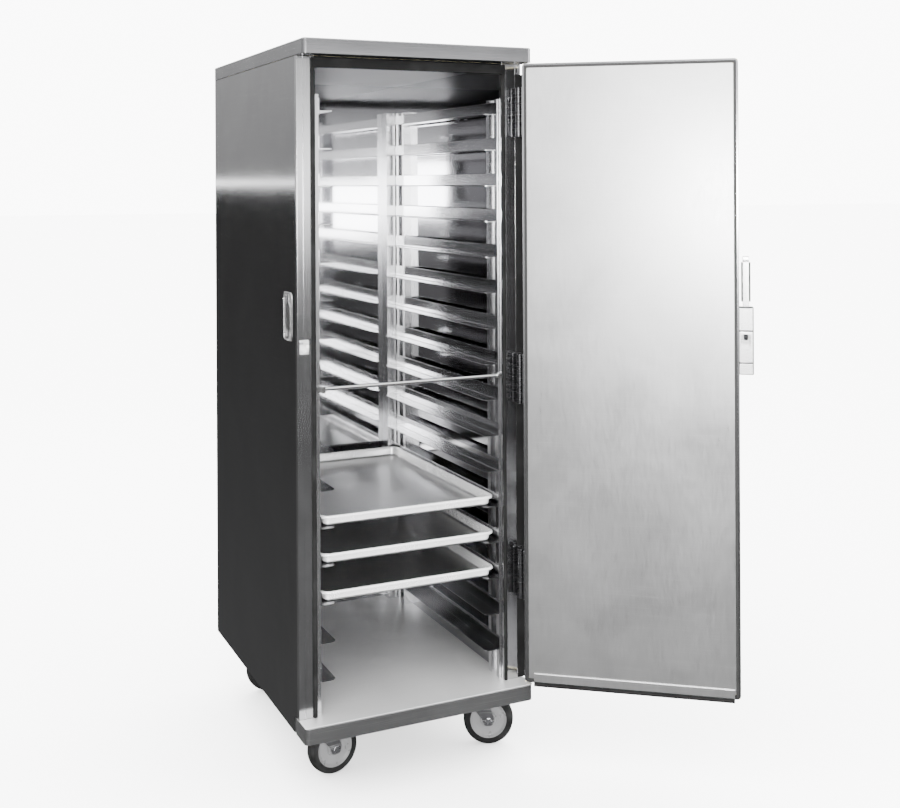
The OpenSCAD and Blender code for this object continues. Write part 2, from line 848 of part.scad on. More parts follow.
module caster_bolts() {
    head_h = 5;
    color("silver") placed() for (p = caster_places, x = [-bolt_x, bolt_x], y = [-bolt_in, bolt_in]) {
        translate([p[0] + x, p[1] + y, caster_h - plate_t - head_h]) {
            cylinder(r = 7, h = head_h, $fn = 6);
            cylinder(r = caster_bolt_r, h = head_h + plate_t + 12);
        }
    }
}

// Side of the fork: from the crown down to the axle.
module fork_leg() {
    difference() {
        union() {
            polygon([[-24, crown_z1], [crown_r - 6, crown_z1], [trail + 14, axle_z],
                [trail - 14, axle_z], [-24, crown_z0 - 4]]);
            translate([trail, axle_z]) circle(14);
        }
        translate([trail, axle_z]) circle(axle_r + 0.1);
    }
}

module caster_fork(n) {
    color([0.2, 0.2, 0.2]) at_caster(n) {
        difference() {
            translate([0, 0, crown_z0]) cylinder(r = crown_r, h = crown_z1 - crown_z0);
            translate([0, 0, crown_z0 - 1]) cylinder(r = kingpin_r + 0.08, h = 40);
        }
        for (s = [0, 1]) mirror([0, s, 0]) translate([0, leg_in + leg_t, 0]) rotate([90, 0, 0])
            linear_extrude(leg_t) fork_leg();
    }
}

// Wheel centre with a bearing hub and a dished web.
module caster_wheel(n) {
    half = wheel_w / 2;
    bore = axle_r + 0.06;
    color("gray") at_caster(n) translate([trail, 0, axle_z]) rotate([90, 0, 0])
        rotate_extrude() polygon([
            [bore, -half - 1], [hub_boss, -half - 1], [hub_boss + 2, -half + web_in],
            [hub_r - 9, -half + web_in], [hub_r - 5, -half + 1], [hub_r, -half + 1],
            [hub_r, half - 1], [hub_r - 5, half - 1], [hub_r - 9, half - web_in],
            [hub_boss + 2, half - web_in], [hub_boss, half + 1], [bore, half + 1]]);
}

// Rubber tread, moulded round the wheel centre.
module caster_tyre(n) {
    half = wheel_w / 2;
    color([0.15, 0.15, 0.15]) at_caster(n) translate([trail, 0, axle_z]) rotate([90, 0, 0])
        rotate_extrude() {
            translate([hub_r, -half]) square([axle_z - tread_r - hub_r, wheel_w]);
            translate([axle_z - tread_r - eps, -half + tread_r])
                square([tread_r + eps, wheel_w - 2 * tread_r]);
            for (z = [-1, 1]) translate([axle_z - tread_r, z * (half - tread_r)]) circle(tread_r);
        }
}

// Bolt through both fork legs, with a nut on the far side.
module caster_axle(n) {
    reach = leg_in + leg_t;
    color("silver") at_caster(n) translate([trail, 0, axle_z]) rotate([90, 0, 0]) {
        translate([0, 0, -reach - axle_head]) cylinder(r = axle_r, h = 2 * (reach + axle_head) + 3);
        translate([0, 0, -reach - axle_head]) cylinder(r = 9, h = axle_head, $fn = 6);
        translate([0, 0, reach]) cylinder(r = 9, h = axle_head, $fn = 6);
    }
}

module front_left_fork() {
    caster_fork(0);
}

module front_left_axle() {
    caster_axle(0);
}

module front_left_wheel() {
    caster_wheel(0);
}

module front_left_tyre() {
    caster_tyre(0);
}

module front_right_fork() {
    caster_fork(1);
}

module front_right_axle() {
    caster_axle(1);
}

module front_right_wheel() {
    caster_wheel(1);
}

module front_right_tyre() {
    caster_tyre(1);
}

module rear_left_fork() {
    caster_fork(2);
}

module rear_left_axle() {
    caster_axle(2);
}

module rear_left_wheel() {
    caster_wheel(2);
}

module rear_left_tyre() {
    caster_tyre(2);
}

module rear_right_fork() {
    caster_fork(3);
}

module rear_right_axle() {
    caster_axle(3);
}

module rear_right_wheel() {
    caster_wheel(3);
}

module rear_right_tyre() {
    caster_tyre(3);
}

// ------------------------------------------------------------------ nodes

base_front_rail();
base_rails();
caster_channels();
floor_panel();
left_outer_panel();
right_outer_panel();
rear_outer_panel();
roof_cap();
side_liners();
rear_liner();
ceiling_liner();
insulation();
latch_jamb();
hinge_jamb();
header();
frame_gasket();
rack_uprights();
rear_pan_stops();
pan_slides();
rack_tie_bar();
tie_bar_forks();
latch_strike();
side_pull_dish();
side_pull_grip();
hinge_frame_leaves();
hinge_pins();
small_screws();
caster_plates();
caster_bolts();
door_outer_skin();
door_inner_panel();
door_core();
door_edge_breaker();
door_sweep();
hinge_door_leaves();
latch_body();
latch_pivot_pin();
latch_handle();
latch_grip();
latch_bolt();
latch_spring();
sheet_pan_1();
sheet_pan_2();
sheet_pan_3();
front_left_fork();
front_left_axle();
front_left_wheel();
front_left_tyre();
front_right_fork();
front_right_axle();
front_right_wheel();
front_right_tyre();
rear_left_fork();
rear_left_axle();
rear_left_wheel();
rear_left_tyre();
rear_right_fork();
rear_right_axle();
rear_right_wheel();
rear_right_tyre();
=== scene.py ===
import json
import math
import bmesh
import bpy
import numpy as np
from mathutils import Matrix, Vector


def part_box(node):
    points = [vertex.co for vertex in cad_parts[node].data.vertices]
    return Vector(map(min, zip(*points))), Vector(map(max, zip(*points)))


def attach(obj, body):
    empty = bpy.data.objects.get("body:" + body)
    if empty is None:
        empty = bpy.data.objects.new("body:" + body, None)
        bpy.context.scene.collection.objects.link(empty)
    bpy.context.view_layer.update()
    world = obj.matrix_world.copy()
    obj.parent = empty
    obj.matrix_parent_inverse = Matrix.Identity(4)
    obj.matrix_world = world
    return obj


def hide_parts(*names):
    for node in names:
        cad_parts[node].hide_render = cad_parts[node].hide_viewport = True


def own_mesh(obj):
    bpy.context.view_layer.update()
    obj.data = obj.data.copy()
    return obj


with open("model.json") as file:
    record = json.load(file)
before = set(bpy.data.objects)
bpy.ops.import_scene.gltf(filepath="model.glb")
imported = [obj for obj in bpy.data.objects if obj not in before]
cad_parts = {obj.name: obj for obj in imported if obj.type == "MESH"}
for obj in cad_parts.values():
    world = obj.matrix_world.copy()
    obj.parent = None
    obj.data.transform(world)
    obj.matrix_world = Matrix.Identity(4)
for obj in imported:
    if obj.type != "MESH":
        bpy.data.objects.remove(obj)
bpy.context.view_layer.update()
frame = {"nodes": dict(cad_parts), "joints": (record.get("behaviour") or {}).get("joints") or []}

# ---------------------------------------------------------------- the studio
# The camera stands to the left of the open door at eye height and looks level,
# lowered in its own frame so that upright edges stay upright.
eye = bpy.data.cameras.new("eye")
eye.sensor_fit = "HORIZONTAL"
eye.sensor_width = 36
eye.lens = 49.366
eye.shift_x, eye.shift_y = -0.01803, -0.2443
heading, tilt = math.radians(25.33), math.radians(-0.28)
eye_place = (-1.1547, -3.1181, 1.4309)
camera = bpy.data.objects.new("eye", eye)
bpy.context.collection.objects.link(camera)
facing = Vector((math.sin(heading), math.cos(heading), 0))
across = facing.cross(Vector((0, 0, 1)))
turn = Matrix((across, (0, 0, 1), -facing)).transposed().to_4x4()
camera.matrix_world = Matrix.Translation(eye_place) @ turn @ Matrix.Rotation(tilt, 4, "Z")
bpy.context.scene.camera = camera

# A pale floor that runs to the horizon.
floor_mesh = bpy.data.meshes.new("studio_floor")
far = 60
floor_mesh.from_pydata([(-far, -far, 0), (far, -far, 0), (far, far, 0), (-far, far, 0)], [], [(0, 1, 2, 3)])
studio_floor = bpy.data.objects.new("studio_floor", floor_mesh)
bpy.context.collection.objects.link(studio_floor)
studio_floor.visible_glossy = False
pale = bpy.data.materials.new("pale floor")
pale.use_nodes = True
matt = pale.node_tree.nodes["Principled BSDF"].inputs
for key, value in (("Base Color", (0.93, 0.93, 0.93, 1)), ("Roughness", 0.9), ("Specular IOR Level", 0.1)):
    matt[key].default_value = value
floor_mesh.materials.append(pale)

# Soft panels over the left front, at the right and behind, and two small ones in front
# that show in the polished steel: place, aim, width, height and power of each.
for name, place, aim, width, height, power in (
        ("key light", (-2.2, -3.6, 3.6), (0.1, -0.3, 0.9), 2.2, 1.6, 110),
        ("fill light", (3.4, -2.6, 2.6), (0.2, -0.3, 0.9), 2.0, 2.0, 50),
        ("back light", (0.6, 3.4, 3.2), (0.0, 0.3, 1.0), 2.0, 1.6, 60),
        ("front lamp", (-0.97, -3.45, 1.27), (0.0, 0.0, 1.1), 0.50, 0.34, 40),
        ("left lamp", (-1.42, -3.30, 1.40), (0.4, -0.5, 1.3), 0.42, 0.34, 28)):
    lamp = bpy.data.lights.new(name, "AREA")
    lamp.shape = "RECTANGLE"
    lamp.size, lamp.size_y, lamp.energy = width, height, power
    lit = bpy.data.objects.new(name, lamp)
    bpy.context.collection.objects.link(lit)
    lit.location = place
    lit.rotation_euler = (Vector(aim) - Vector(place)).to_track_quat("-Z", "Y").to_euler()

# The room around: bright for what it lights and for the view, and for what it
# shows in polished steel a dark ground, grey walls, a pale ceiling and lamps.
world = bpy.data.worlds.new("studio")
bpy.context.scene.world = world
world.use_nodes = True
room = world.node_tree
room.nodes.clear()


def put(tree, kind, values=(), **settings):
    """A node of the given kind with its settings, each input either a value or another node's socket."""
    node = tree.nodes.new(kind)
    for key, value in settings.items():
        setattr(node, key, value)
    for key, value in dict(values).items():
        if isinstance(value, bpy.types.NodeSocket):
            tree.links.new(value, node.inputs[key])
        else:
            node.inputs[key].default_value = value
    return node


def math_node(tree, operation, a, b=0.0, c=0.0):
    return put(tree, "ShaderNodeMath", {0: a, 1: b, 2: c}, operation=operation).outputs[0]


def mixed(tree, factor, a, b):
    """Colour a turning into colour b as factor goes from 0 to 1."""
    return put(tree, "ShaderNodeMix", {"Factor": factor, "A": a, "B": b}, data_type="RGBA").outputs["Result"]


def grey(tone):
    return (tone, tone, tone, 1)


direction = put(room, "ShaderNodeTexCoord").outputs["Generated"]
elevation = put(room, "ShaderNodeSeparateXYZ", {0: direction}).outputs["Z"]
height = put(room, "ShaderNodeMapRange", {"Value": elevation, "From Min": -1, "From Max": 1}).outputs[0]
ramp = put(room, "ShaderNodeValToRGB", {0: height})
ground_tone, zenith_tone = 0.12, 2.0
for stop, tone in zip(ramp.color_ramp.elements, (ground_tone, zenith_tone)):
    stop.color = grey(tone)
for at, tone in ((0.30, 0.10), (0.44, 0.06), (0.4985, 0.045), (0.5005, 0.42), (0.53, 0.50), (0.60, 0.75),
                 (0.72, 1.6), (0.85, 2.2)):
    ramp.color_ramp.elements.new(at).color = grey(tone)


def sky_patch(azimuth, half_width, low, high, soft):
    """Mask of a lamp in the room, with soft edges: the product of three smooth steps, one for the cosine of
    the angle to the azimuth (both in degrees) and one each for the rise above low and below high."""
    azimuth, half_width = math.radians(azimuth), math.radians(half_width)
    aim = put(room, "ShaderNodeVectorMath", {0: direction, 1: (math.sin(azimuth), math.cos(azimuth), 0)},
              operation="DOT_PRODUCT").outputs["Value"]
    mask = 1.0
    for source, a, b in ((aim, math.cos(half_width * 1.3), math.cos(half_width * 0.8)),
                         (elevation, low - soft, low + soft), (elevation, high + soft, high - soft)):
        step = put(room, "ShaderNodeMapRange", {"Value": source, "From Min": a, "From Max": b},
                   interpolation_type="SMOOTHSTEP").outputs[0]
        mask = math_node(room, "MULTIPLY", step, mask)
    return mask


seen = ramp.outputs["Color"]
for patch, strength in (((205, 65, -0.95, -0.20, 0.15), 0.13), ((222, 20, -0.16, 0.05, 0.10), 0.6),
                        ((205, 60, 0.35, 0.85, 0.12), 2.2), ((218, 36, 0.03, 0.35, 0.06), 1.0),
                        ((188, 34, -0.030, 0.045, 0.030), 4.5), ((-14, 34, 0.0004, 0.0032, 0.0006), 9.0)):
    seen = mixed(room, sky_patch(*patch), seen, grey(strength))
room_light = 10.0
shown = mixed(room, put(room, "ShaderNodeLightPath").outputs["Is Glossy Ray"], grey(room_light), seen)
put(room, "ShaderNodeOutputWorld", {0: put(room, "ShaderNodeBackground", {"Color": shown}).outputs[0]})


# ---------------------------------------------------------------- outer sheets
# Side and back skins: stainless sheet with a fine brushed grain, folded at the
# edges and riveted to the base; they show wiping marks and faint scratches.
def group(name, inputs, outputs):
    """An empty shader group with named inputs and outputs; returns its tree and its two end nodes."""
    tree = bpy.data.node_groups.new(name, "ShaderNodeTree")
    for label, kind, value in inputs:
        socket = tree.interface.new_socket(name=label, in_out="INPUT", socket_type=kind)
        socket.default_value = value
    for label, kind in outputs:
        tree.interface.new_socket(name=label, in_out="OUTPUT", socket_type=kind)
    return tree, tree.nodes.new("NodeGroupInput"), tree.nodes.new("NodeGroupOutput")


def spot(tree):
    """The socket that gives a point of the surface in the object's own metres."""
    return put(tree, "ShaderNodeTexCoord").outputs["Object"]


def noise(tree, where, scale, detail, **more):
    values = {"Vector": where, "Scale": scale, "Detail": detail}
    return put(tree, "ShaderNodeTexNoise", {**values, **more}).outputs["Fac"]


def raised(tree, strength, depth, height):
    return put(tree, "ShaderNodeBump", {"Strength": strength, "Distance": depth, "Height": height}).outputs[0]


def blank(name):
    """A new material, its tree and the inputs of its shader."""
    material = bpy.data.materials.new(name)
    material.use_nodes = True
    return material, material.node_tree, material.node_tree.nodes["Principled BSDF"].inputs


def join(tree, skin, **sockets):
    """Links sockets to the shader's colour, roughness and normal."""
    for key, socket in sockets.items():
        tree.links.new(socket, skin["Base Color" if key == "colour" else key.capitalize()])


# Grain: noise drawn out along the rolling direction, with clouds of wiping marks over it.
grain, gi, go = group(
    "rolled grain",
    [("Colour", "NodeSocketColor", (0.5, 0.5, 0.5, 1)), ("Stretch", "NodeSocketVector", (900, 900, 14)),
     ("Contrast", "NodeSocketFloat", 0.25), ("Clouds", "NodeSocketFloat", 0.3),
     ("Roughness", "NodeSocketFloat", 0.25), ("Spread", "NodeSocketFloat", 0.1)],
    [("Colour", "NodeSocketColor"), ("Roughness", "NodeSocketFloat"), ("Height", "NodeSocketFloat")])
where = spot(grain)
along = put(grain, "ShaderNodeVectorMath", {0: where, 1: gi.outputs["Stretch"]}, operation="MULTIPLY")
lines = noise(grain, along.outputs[0], 1.0, 3.0, Roughness=0.65)
clouds = noise(grain, where, 4.2, 4.0, Roughness=0.55, Distortion=0.6)
even_lines = math_node(grain, "SUBTRACT", lines, 0.5)
even_clouds = math_node(grain, "SUBTRACT", clouds, 0.5)
tone = math_node(grain, "MULTIPLY_ADD", even_lines, gi.outputs["Contrast"], 1.0)
tone = math_node(grain, "MULTIPLY_ADD", even_clouds, gi.outputs["Clouds"], tone)
shade = put(grain, "ShaderNodeVectorMath", {0: gi.outputs["Colour"], "Scale": tone}, operation="SCALE")
rough = math_node(grain, "MULTIPLY_ADD", even_lines, gi.outputs["Spread"], gi.outputs["Roughness"])
rough = math_node(grain, "MULTIPLY_ADD", even_clouds, gi.outputs["Spread"], rough)
grain.links.new(shade.outputs[0], go.inputs["Colour"])
grain.links.new(rough, go.inputs["Roughness"])
grain.links.new(lines, go.inputs["Height"])

# Scratches: two sets of long thin marks that cross, where a drawn-out noise passes a narrow band.
scratches, si, so = group(
    "scratches",
    [("Size", "NodeSocketFloat", 1.0), ("Amount", "NodeSocketFloat", 0.5)],
    [("Mask", "NodeSocketFloat")])
where = spot(scratches)
marks = []
for lean, cut in ((0.5, 0.70), (-0.9, 0.71)):
    laid = put(scratches, "ShaderNodeMapping", {"Vector": where, "Rotation": (lean, lean * 0.7, lean * 0.4),
                                                "Scale": (7, 7, 900)})
    field = noise(scratches, laid.outputs[0], si.outputs["Size"], 0.0, Distortion=0.1)
    marks.append(put(scratches, "ShaderNodeMapRange",
                     {"Value": field, "From Min": cut, "From Max": cut + 0.03}).outputs[0])
both = math_node(scratches, "MAXIMUM", marks[0], marks[1])
scratches.links.new(math_node(scratches, "MULTIPLY", both, si.outputs["Amount"]), so.inputs["Mask"])


def steel(name, colour, roughness, stretch, contrast=0.2, clouds=0.3, spread=0.1, scratch=0.1, bump=0.02,
          metallic=1.0):
    """Bare metal: the grain gives colour, roughness and a faint relief; scratches lighten and roughen it."""
    material, tree, skin = blank(name)
    skin["Metallic"].default_value = metallic
    base = put(tree, "ShaderNodeGroup", node_tree=grain)
    for key, value in (("Colour", colour + (1,)), ("Stretch", stretch), ("Contrast", contrast),
                       ("Clouds", clouds), ("Roughness", roughness), ("Spread", spread)):
        base.inputs[key].default_value = value
    worn = put(tree, "ShaderNodeGroup", {"Amount": scratch}, node_tree=scratches)
    lighter = mixed(tree, worn.outputs["Mask"], base.outputs["Colour"], grey(0.9))
    rougher = math_node(tree, "MULTIPLY_ADD", worn.outputs["Mask"], 0.12, base.outputs["Roughness"])
    join(tree, skin, colour=lighter, roughness=rougher,
         normal=raised(tree, bump, 0.001, base.outputs["Height"]))
    return material


def paint(nodes, material):
    """Gives CAD nodes that keep their own shape this material."""
    for node in nodes:
        mesh = frame["nodes"][node].data
        mesh.materials.clear()
        mesh.materials.append(material)


side_skin = steel("side skin", (0.42, 0.42, 0.43), 0.085, (700, 700, 10), contrast=0.16, clouds=0.25,
                  spread=0.03, scratch=0.052, bump=0.006)
paint(["left_outer_panel", "right_outer_panel", "rear_outer_panel"], side_skin)

# ---------------------------------------------------------------- roof cap
# A shallow inverted tray of satin stainless, its edges bent down over the
# walls on all four sides, with a soffit under the part that covers the door.
def rounded(points, radius, steps=4):
    """Outline with round corners, and its outward directions. Corner p, whose sides it meets at a and b,
    becomes the arc c + (sin((1 - s) w) (a - c) + sin(s w) (b - c)) / sin w about its centre c, with s from
    0 to 1 and w its turn."""
    p = np.array(points, float)
    r = np.broadcast_to(np.asarray(radius, float), len(p))[:, None]
    back, on = np.roll(p, 1, 0) - p, np.roll(p, -1, 0) - p
    back = back / np.linalg.norm(back, axis=1, keepdims=True)
    on = on / np.linalg.norm(on, axis=1, keepdims=True)
    half = np.arccos(np.clip((back * on).sum(1), -1, 1))[:, None] / 2
    reach = r / np.tan(half)
    middle = (back + on) / np.linalg.norm(back + on, axis=1, keepdims=True)
    c = (p + middle * r / np.sin(half))[:, None]
    a, b = (p + back * reach)[:, None], (p + on * reach)[:, None]
    w = (math.pi - 2 * half)[:, None]
    s = np.linspace(0, 1, steps + 1)[None, :, None]
    arc = c + (np.sin((1 - s) * w) * (a - c) + np.sin(s * w) * (b - c)) / np.sin(w)
    bulge = np.sign(on[:, 0] * -back[:, 1] + on[:, 1] * back[:, 0])[:, None, None]
    outward = (arc - c) / r[:, None] * -bulge
    return arc.reshape(-1, 2), outward.reshape(-1, 2)


def rectangle(x0, x1, y0, y1, radius, steps=4):
    return rounded([(x0, y0), (x1, y0), (x1, y1), (x0, y1)], radius, steps)


def plate(outline, profile):
    """Rings of a pressed sheet: ring k is the outline moved in by inset k, at height k."""
    p, outward = outline
    inset, height = np.array(profile, float).T
    ring = p[None] - inset[:, None, None] * outward[None]
    level = np.broadcast_to(height[:, None, None], ring.shape[:2] + (1,))
    return np.concatenate([ring, level], 2)


def slab(outline, low, high, edge):
    """A plate between two heights with edges rounded by quarter circles: inset e (1 - sin t), height
    high - e (1 - cos t) at the top, and the same at the bottom."""
    t = np.linspace(0, math.pi / 2, 4)
    inset, drop = edge * (1 - np.sin(t)), edge * (1 - np.cos(t))
    profile = np.concatenate([np.stack([inset, low + drop], 1), np.stack([inset, high - drop], 1)[::-1]])
    return plate(outline, profile)


def block(low, high, edge):
    return slab(rectangle(low[0], high[0], low[1], high[1], edge), low[2], high[2], edge)


def stood(grid):
    """Stands a shape drawn flat upright: its Y becomes height, and its height runs along Y."""
    return grid[..., [0, 2, 1]]


def sheet(x0, x1, z0, z1, radius, front, back, edge):
    """An upright plate with round corners, from front to back along Y."""
    return stood(slab(rectangle(x0, x1, z0, z1, radius), front, back, edge))


def tray(low, high, bend, inside):
    """A shallow inverted tray: the profile inside, then a quarter circle over the outer edge, with inset
    b (1 - sin t) and drop b (1 - cos t) from the top for the bend b, t up to a quarter turn, then the top."""
    t = np.linspace(0, math.pi / 2, 5)
    outside = np.stack([bend * (1 - np.sin(t)), high[2] - bend * (1 - np.cos(t))], 1)[::-1]
    return plate(rectangle(low[0], high[0], low[1], high[1], 0.011, 6),
                 np.concatenate([inside, outside, [(0.006, high[2]), (0.010, high[2])]]))


def shell(name, grids, material, sharp=40):
    """One mesh of closed shells. Each grid holds rings of points; quads join point j of ring i to its
    neighbour on the ring and to ring i + 1, and flat faces close the first and last ring."""
    points, faces, start = [], [], 0
    for g in grids:
        m, n = g.shape[:2]
        i, j = np.meshgrid(np.arange(m - 1), np.arange(n), indexing="ij")
        k = (j + 1) % n
        faces += (start + np.stack([i * n + j, i * n + k, (i + 1) * n + k, (i + 1) * n + j], -1)
                  ).reshape(-1, 4).tolist()
        if not np.allclose(g[0], g[-1], atol=1e-7):
            faces.append(list(range(start + n - 1, start - 1, -1)))
            faces.append(list(range(start + (m - 1) * n, start + m * n)))
        points.append(g.reshape(-1, 3))
        start += m * n
    mesh = bpy.data.meshes.new(name)
    mesh.from_pydata(np.concatenate(points).tolist(), [], faces)
    work = bmesh.new()
    work.from_mesh(mesh)
    bmesh.ops.remove_doubles(work, verts=work.verts, dist=2e-6)
    bmesh.ops.dissolve_degenerate(work, edges=work.edges, dist=1e-7)
    bmesh.ops.recalc_face_normals(work, faces=work.faces)
    work.to_mesh(mesh)
    work.free()
    mesh.polygons.foreach_set("use_smooth", np.ones(len(mesh.polygons), bool))
    mesh.set_sharp_from_angle(angle=math.radians(sharp))
    mesh.materials.append(material)
    made = bpy.data.objects.new(name, mesh)
    bpy.context.collection.objects.link(made)
    made.modifiers.new("even shading", "WEIGHTED_NORMAL").keep_sharp = True
    return made


def fit(piece, body, node):
    """Hangs a piece on its body and hides the CAD node it stands for, if any."""
    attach(piece, body)
    if node:
        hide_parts(node)
    return piece


def hang(name, body, node, grids, material, sharp=40):
    return fit(shell(name, grids, material, sharp), body, node)


cap_steel = steel("cap steel", (0.33, 0.33, 0.34), 0.20, (12, 700, 700), clouds=0.35, scratch=0.06)
low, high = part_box("roof_cap")
metal = 0.0012
cap_inside = [(0.010, high[2] - metal), (0.0035, high[2] - 0.0022), (metal, high[2] - 0.005),
              (metal, low[2] + 0.001), (0.0006, low[2]), (0, low[2] + 0.0008)]
soffit_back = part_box("latch_jamb")[0][1]
hang("roof_cap_tray", "cabinet", "roof_cap",
     [tray(low, high, 0.003, cap_inside),
      block((low[0] + 0.0014, low[1] + 0.0014, low[2] + 0.0004),
            (high[0] - 0.0014, soffit_back, low[2] + 0.0016), 0.0005)], cap_steel)

# ---------------------------------------------------------------- base
# A box frame of folded steel. Its front rail carries the ledge under the door,
# one sheet with the cabinet's floor, and cross channels take the casters.
base_steel = steel("base steel", (0.30, 0.30, 0.305), 0.34, (14, 600, 600), scratch=0.12)
floor_steel = steel("floor steel", (0.66, 0.66, 0.66), 0.42, (16, 500, 500), contrast=0.14, clouds=0.22,
                    spread=0.14, scratch=0.12, metallic=0.78)
paint(["base_rails", "caster_channels"], base_steel)
low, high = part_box("base_front_rail")
rail_inside = [(0.010, high[2] - 0.002), (0.002, high[2] - 0.003), (0.002, low[2] + 0.0006), (0.0014, low[2]),
               (0, low[2] + 0.0006)]
hang("base_front_folded_rail", "cabinet", "base_front_rail",
     [tray(low, high, 0.0022, rail_inside)], base_steel)

# The floor sheet: wide in front of the frame, narrow between the liners.
low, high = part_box("floor_panel")
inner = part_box("side_liners")[1][0] - 0.0009
floor_outline = rounded([(low[0], low[1]), (high[0], low[1]), (high[0], soffit_back), (inner, soffit_back),
                         (inner, high[1]), (-inner, high[1]), (-inner, soffit_back), (low[0], soffit_back)],
                        [0.004, 0.004, 0.001, 0.001, 0.001, 0.001, 0.001, 0.001])
hang("floor_and_ledge_sheet", "cabinet", "floor_panel",
     [slab(floor_outline, low[2], high[2], 0.0009)], floor_steel)

# ---------------------------------------------------------------- inner liners
# Polished stainless sheets on the inside of the walls and a satin one under the
# roof, held by the rack and the front frame, with rigid foam boards behind them.
liner_steel = steel("polished liner", (0.36, 0.36, 0.37), 0.06, (300, 300, 9), contrast=0.08, clouds=0.16,
                    spread=0.03, scratch=0.02, bump=0.008)
paint(["side_liners", "rear_liner"], liner_steel)
satin_liner = steel("satin liner", (0.45, 0.45, 0.455), 0.40, (300, 9, 300), contrast=0.08, clouds=0.16,
                    spread=0.03, scratch=0.02, bump=0.008)
paint(["ceiling_liner"], satin_liner)

foam_board, tree, skin = blank("foam board")
where = spot(tree)
cells = put(tree, "ShaderNodeTexVoronoi", {"Vector": where, "Scale": 900.0})
tint = mixed(tree, noise(tree, where, 8.0, 5.0), (0.74, 0.66, 0.42, 1), (0.86, 0.80, 0.60, 1))
skin["Roughness"].default_value = 0.9
join(tree, skin, colour=tint, normal=raised(tree, 0.5, 0.0006, cells.outputs["Distance"]))
paint(["insulation", "door_core"], foam_board)

# ---------------------------------------------------------------- front frame
# Two box-section posts and a header of brushed stainless round the opening; the header's colour is near
# black, a painted shade. Each post has a shallow line pressed down its face.
post_steel = steel("post steel", (0.60, 0.60, 0.61), 0.15, (700, 700, 9), contrast=0.12, clouds=0.2)
# Painted shade: the header's brushed steel is given a near-black colour that stands in for its shade.
header_painted_shade_steel = steel("header steel", (0.035, 0.035, 0.037), 0.34, (9, 700, 700), scratch=0.04)


def swept(outline, axis, start, end, edge=0.0004):
    """A bar along X, Y or Z: its outline, given in the other two coordinates in order, is carried from
    start to end, with the two ends eased by one small inset."""
    grid = plate(outline, [(edge, start), (0, start + edge), (0, end - edge), (edge, end)])
    order = {"x": [2, 0, 1], "y": [0, 2, 1], "z": [0, 1, 2]}[axis]
    return grid[..., order]


for node, side in (("latch_jamb", -1), ("hinge_jamb", 1)):
    low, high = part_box(node)
    outer, line = max(abs(low[0]), abs(high[0])), 0.276
    inward = min(abs(low[0]), abs(high[0]))
    post = [(outer, low[1]), (line + 0.0012, low[1]), (line, low[1] + 0.0012), (line - 0.0012, low[1]),
            (inward, low[1]), (inward, high[1]), (outer, high[1])]
    outline = np.array(post) * (side, 1)
    if side > 0:
        outline = outline[::-1]
    easing = np.array([0.0014, 0.0003, 0.0003, 0.0003, 0.0018, 0.0008, 0.0008])[::-side]
    hang(node + "_post", "cabinet", node,
         [swept(rounded(outline, easing), "z", low[2], high[2])], post_steel)

low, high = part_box("header")
hang("header_rail", "cabinet", "header",
     [swept(rectangle(low[1], high[1], low[2], high[2], 0.0012), "x", low[0], high[0])], header_painted_shade_steel)

# ---------------------------------------------------------------- frame gasket
# Black rubber strip round the opening, pressed into the frame: a flat foot
# with a soft round bulb that the closed door squeezes.
def rubber(name, tone, dust=0.05, bump=0.15):
    """Dull rubber: a fine uneven surface, with a paler dusty bloom in large soft patches."""
    material, tree, skin = blank(name)
    where = spot(tree)
    bloom = noise(tree, where, 22.0, 6.0)
    pores = noise(tree, where, 1800.0, 2.0)
    amount = put(tree, "ShaderNodeMapRange",
                 {"Value": bloom, "From Min": 0.45, "From Max": 0.75, "To Max": dust}).outputs[0]
    uneven = put(tree, "ShaderNodeMapRange", {"Value": bloom, "To Min": 0.45, "To Max": 0.75}).outputs[0]
    skin["Specular IOR Level"].default_value = 0.12
    join(tree, skin, colour=mixed(tree, amount, grey(tone), grey(0.08)), roughness=uneven,
         normal=raised(tree, bump, 0.0004, pores))
    return material


black_rubber = rubber("gasket rubber", 0.0035)
low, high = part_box("frame_gasket")
(latch_edge, _, lintel), (hinge_edge, _, _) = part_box("header")


def bulb(x0, x1, y0, y1):
    """Gasket section: a foot with a lower, fully rounded bulb along its inner third."""
    return rounded([(x0, y0 + 0.0022), (x0 + 0.3 * (x1 - x0), y0), (x1, y0 + 0.0008), (x1, y1), (x0, y1)],
                   [0.0014, 0.002, 0.0016, 0.0004, 0.0004])


hang("frame_gasket_bulb", "cabinet", "frame_gasket",
     [swept(bulb(low[0], latch_edge, low[1], high[1]), "z", low[2], lintel),
      swept(bulb(hinge_edge, high[0], low[1], high[1]), "z", low[2], lintel),
      swept(rounded([(low[1] + 0.0008, lintel), (high[1], lintel), (high[1], high[2]), (low[1], high[2])],
                    [0.0016, 0.0004, 0.0004, 0.0018]), "x", low[0], high[0])], black_rubber)

# Painted shade: a thin black rubber strip on the hinge post, standing 9 mm out past it, darkens the gap
# beside the hinge line.
post_low, post_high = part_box("hinge_jamb")
strip = rectangle(post_high[0] - 0.0165, post_high[0] + 0.0090, soffit_back - 0.0022, soffit_back, 0.0006)
hang("hinge_side_strip", "cabinet", "",
     [swept(strip, "z", post_low[2] + 0.002, lintel)], black_rubber)

# ---------------------------------------------------------------- rack
# Slotted stainless uprights and flat rear stops stand on the floor; angle
# slides with a bent ledge hang from them in pairs, their ledge corners round.
rack_steel = steel("rack steel", (0.70, 0.70, 0.71), 0.20, (500, 500, 9), contrast=0.22, clouds=0.25)
slide_steel = steel("slide steel", (0.62, 0.62, 0.63), 0.12, (500, 10, 500), contrast=0.18, clouds=0.2,
                    scratch=0.05)
paint(["rack_uprights"], rack_steel)
stop_steel = steel("stop steel", (0.55, 0.55, 0.56), 0.24, (500, 500, 9), contrast=0.22)
paint(["rear_pan_stops"], stop_steel)

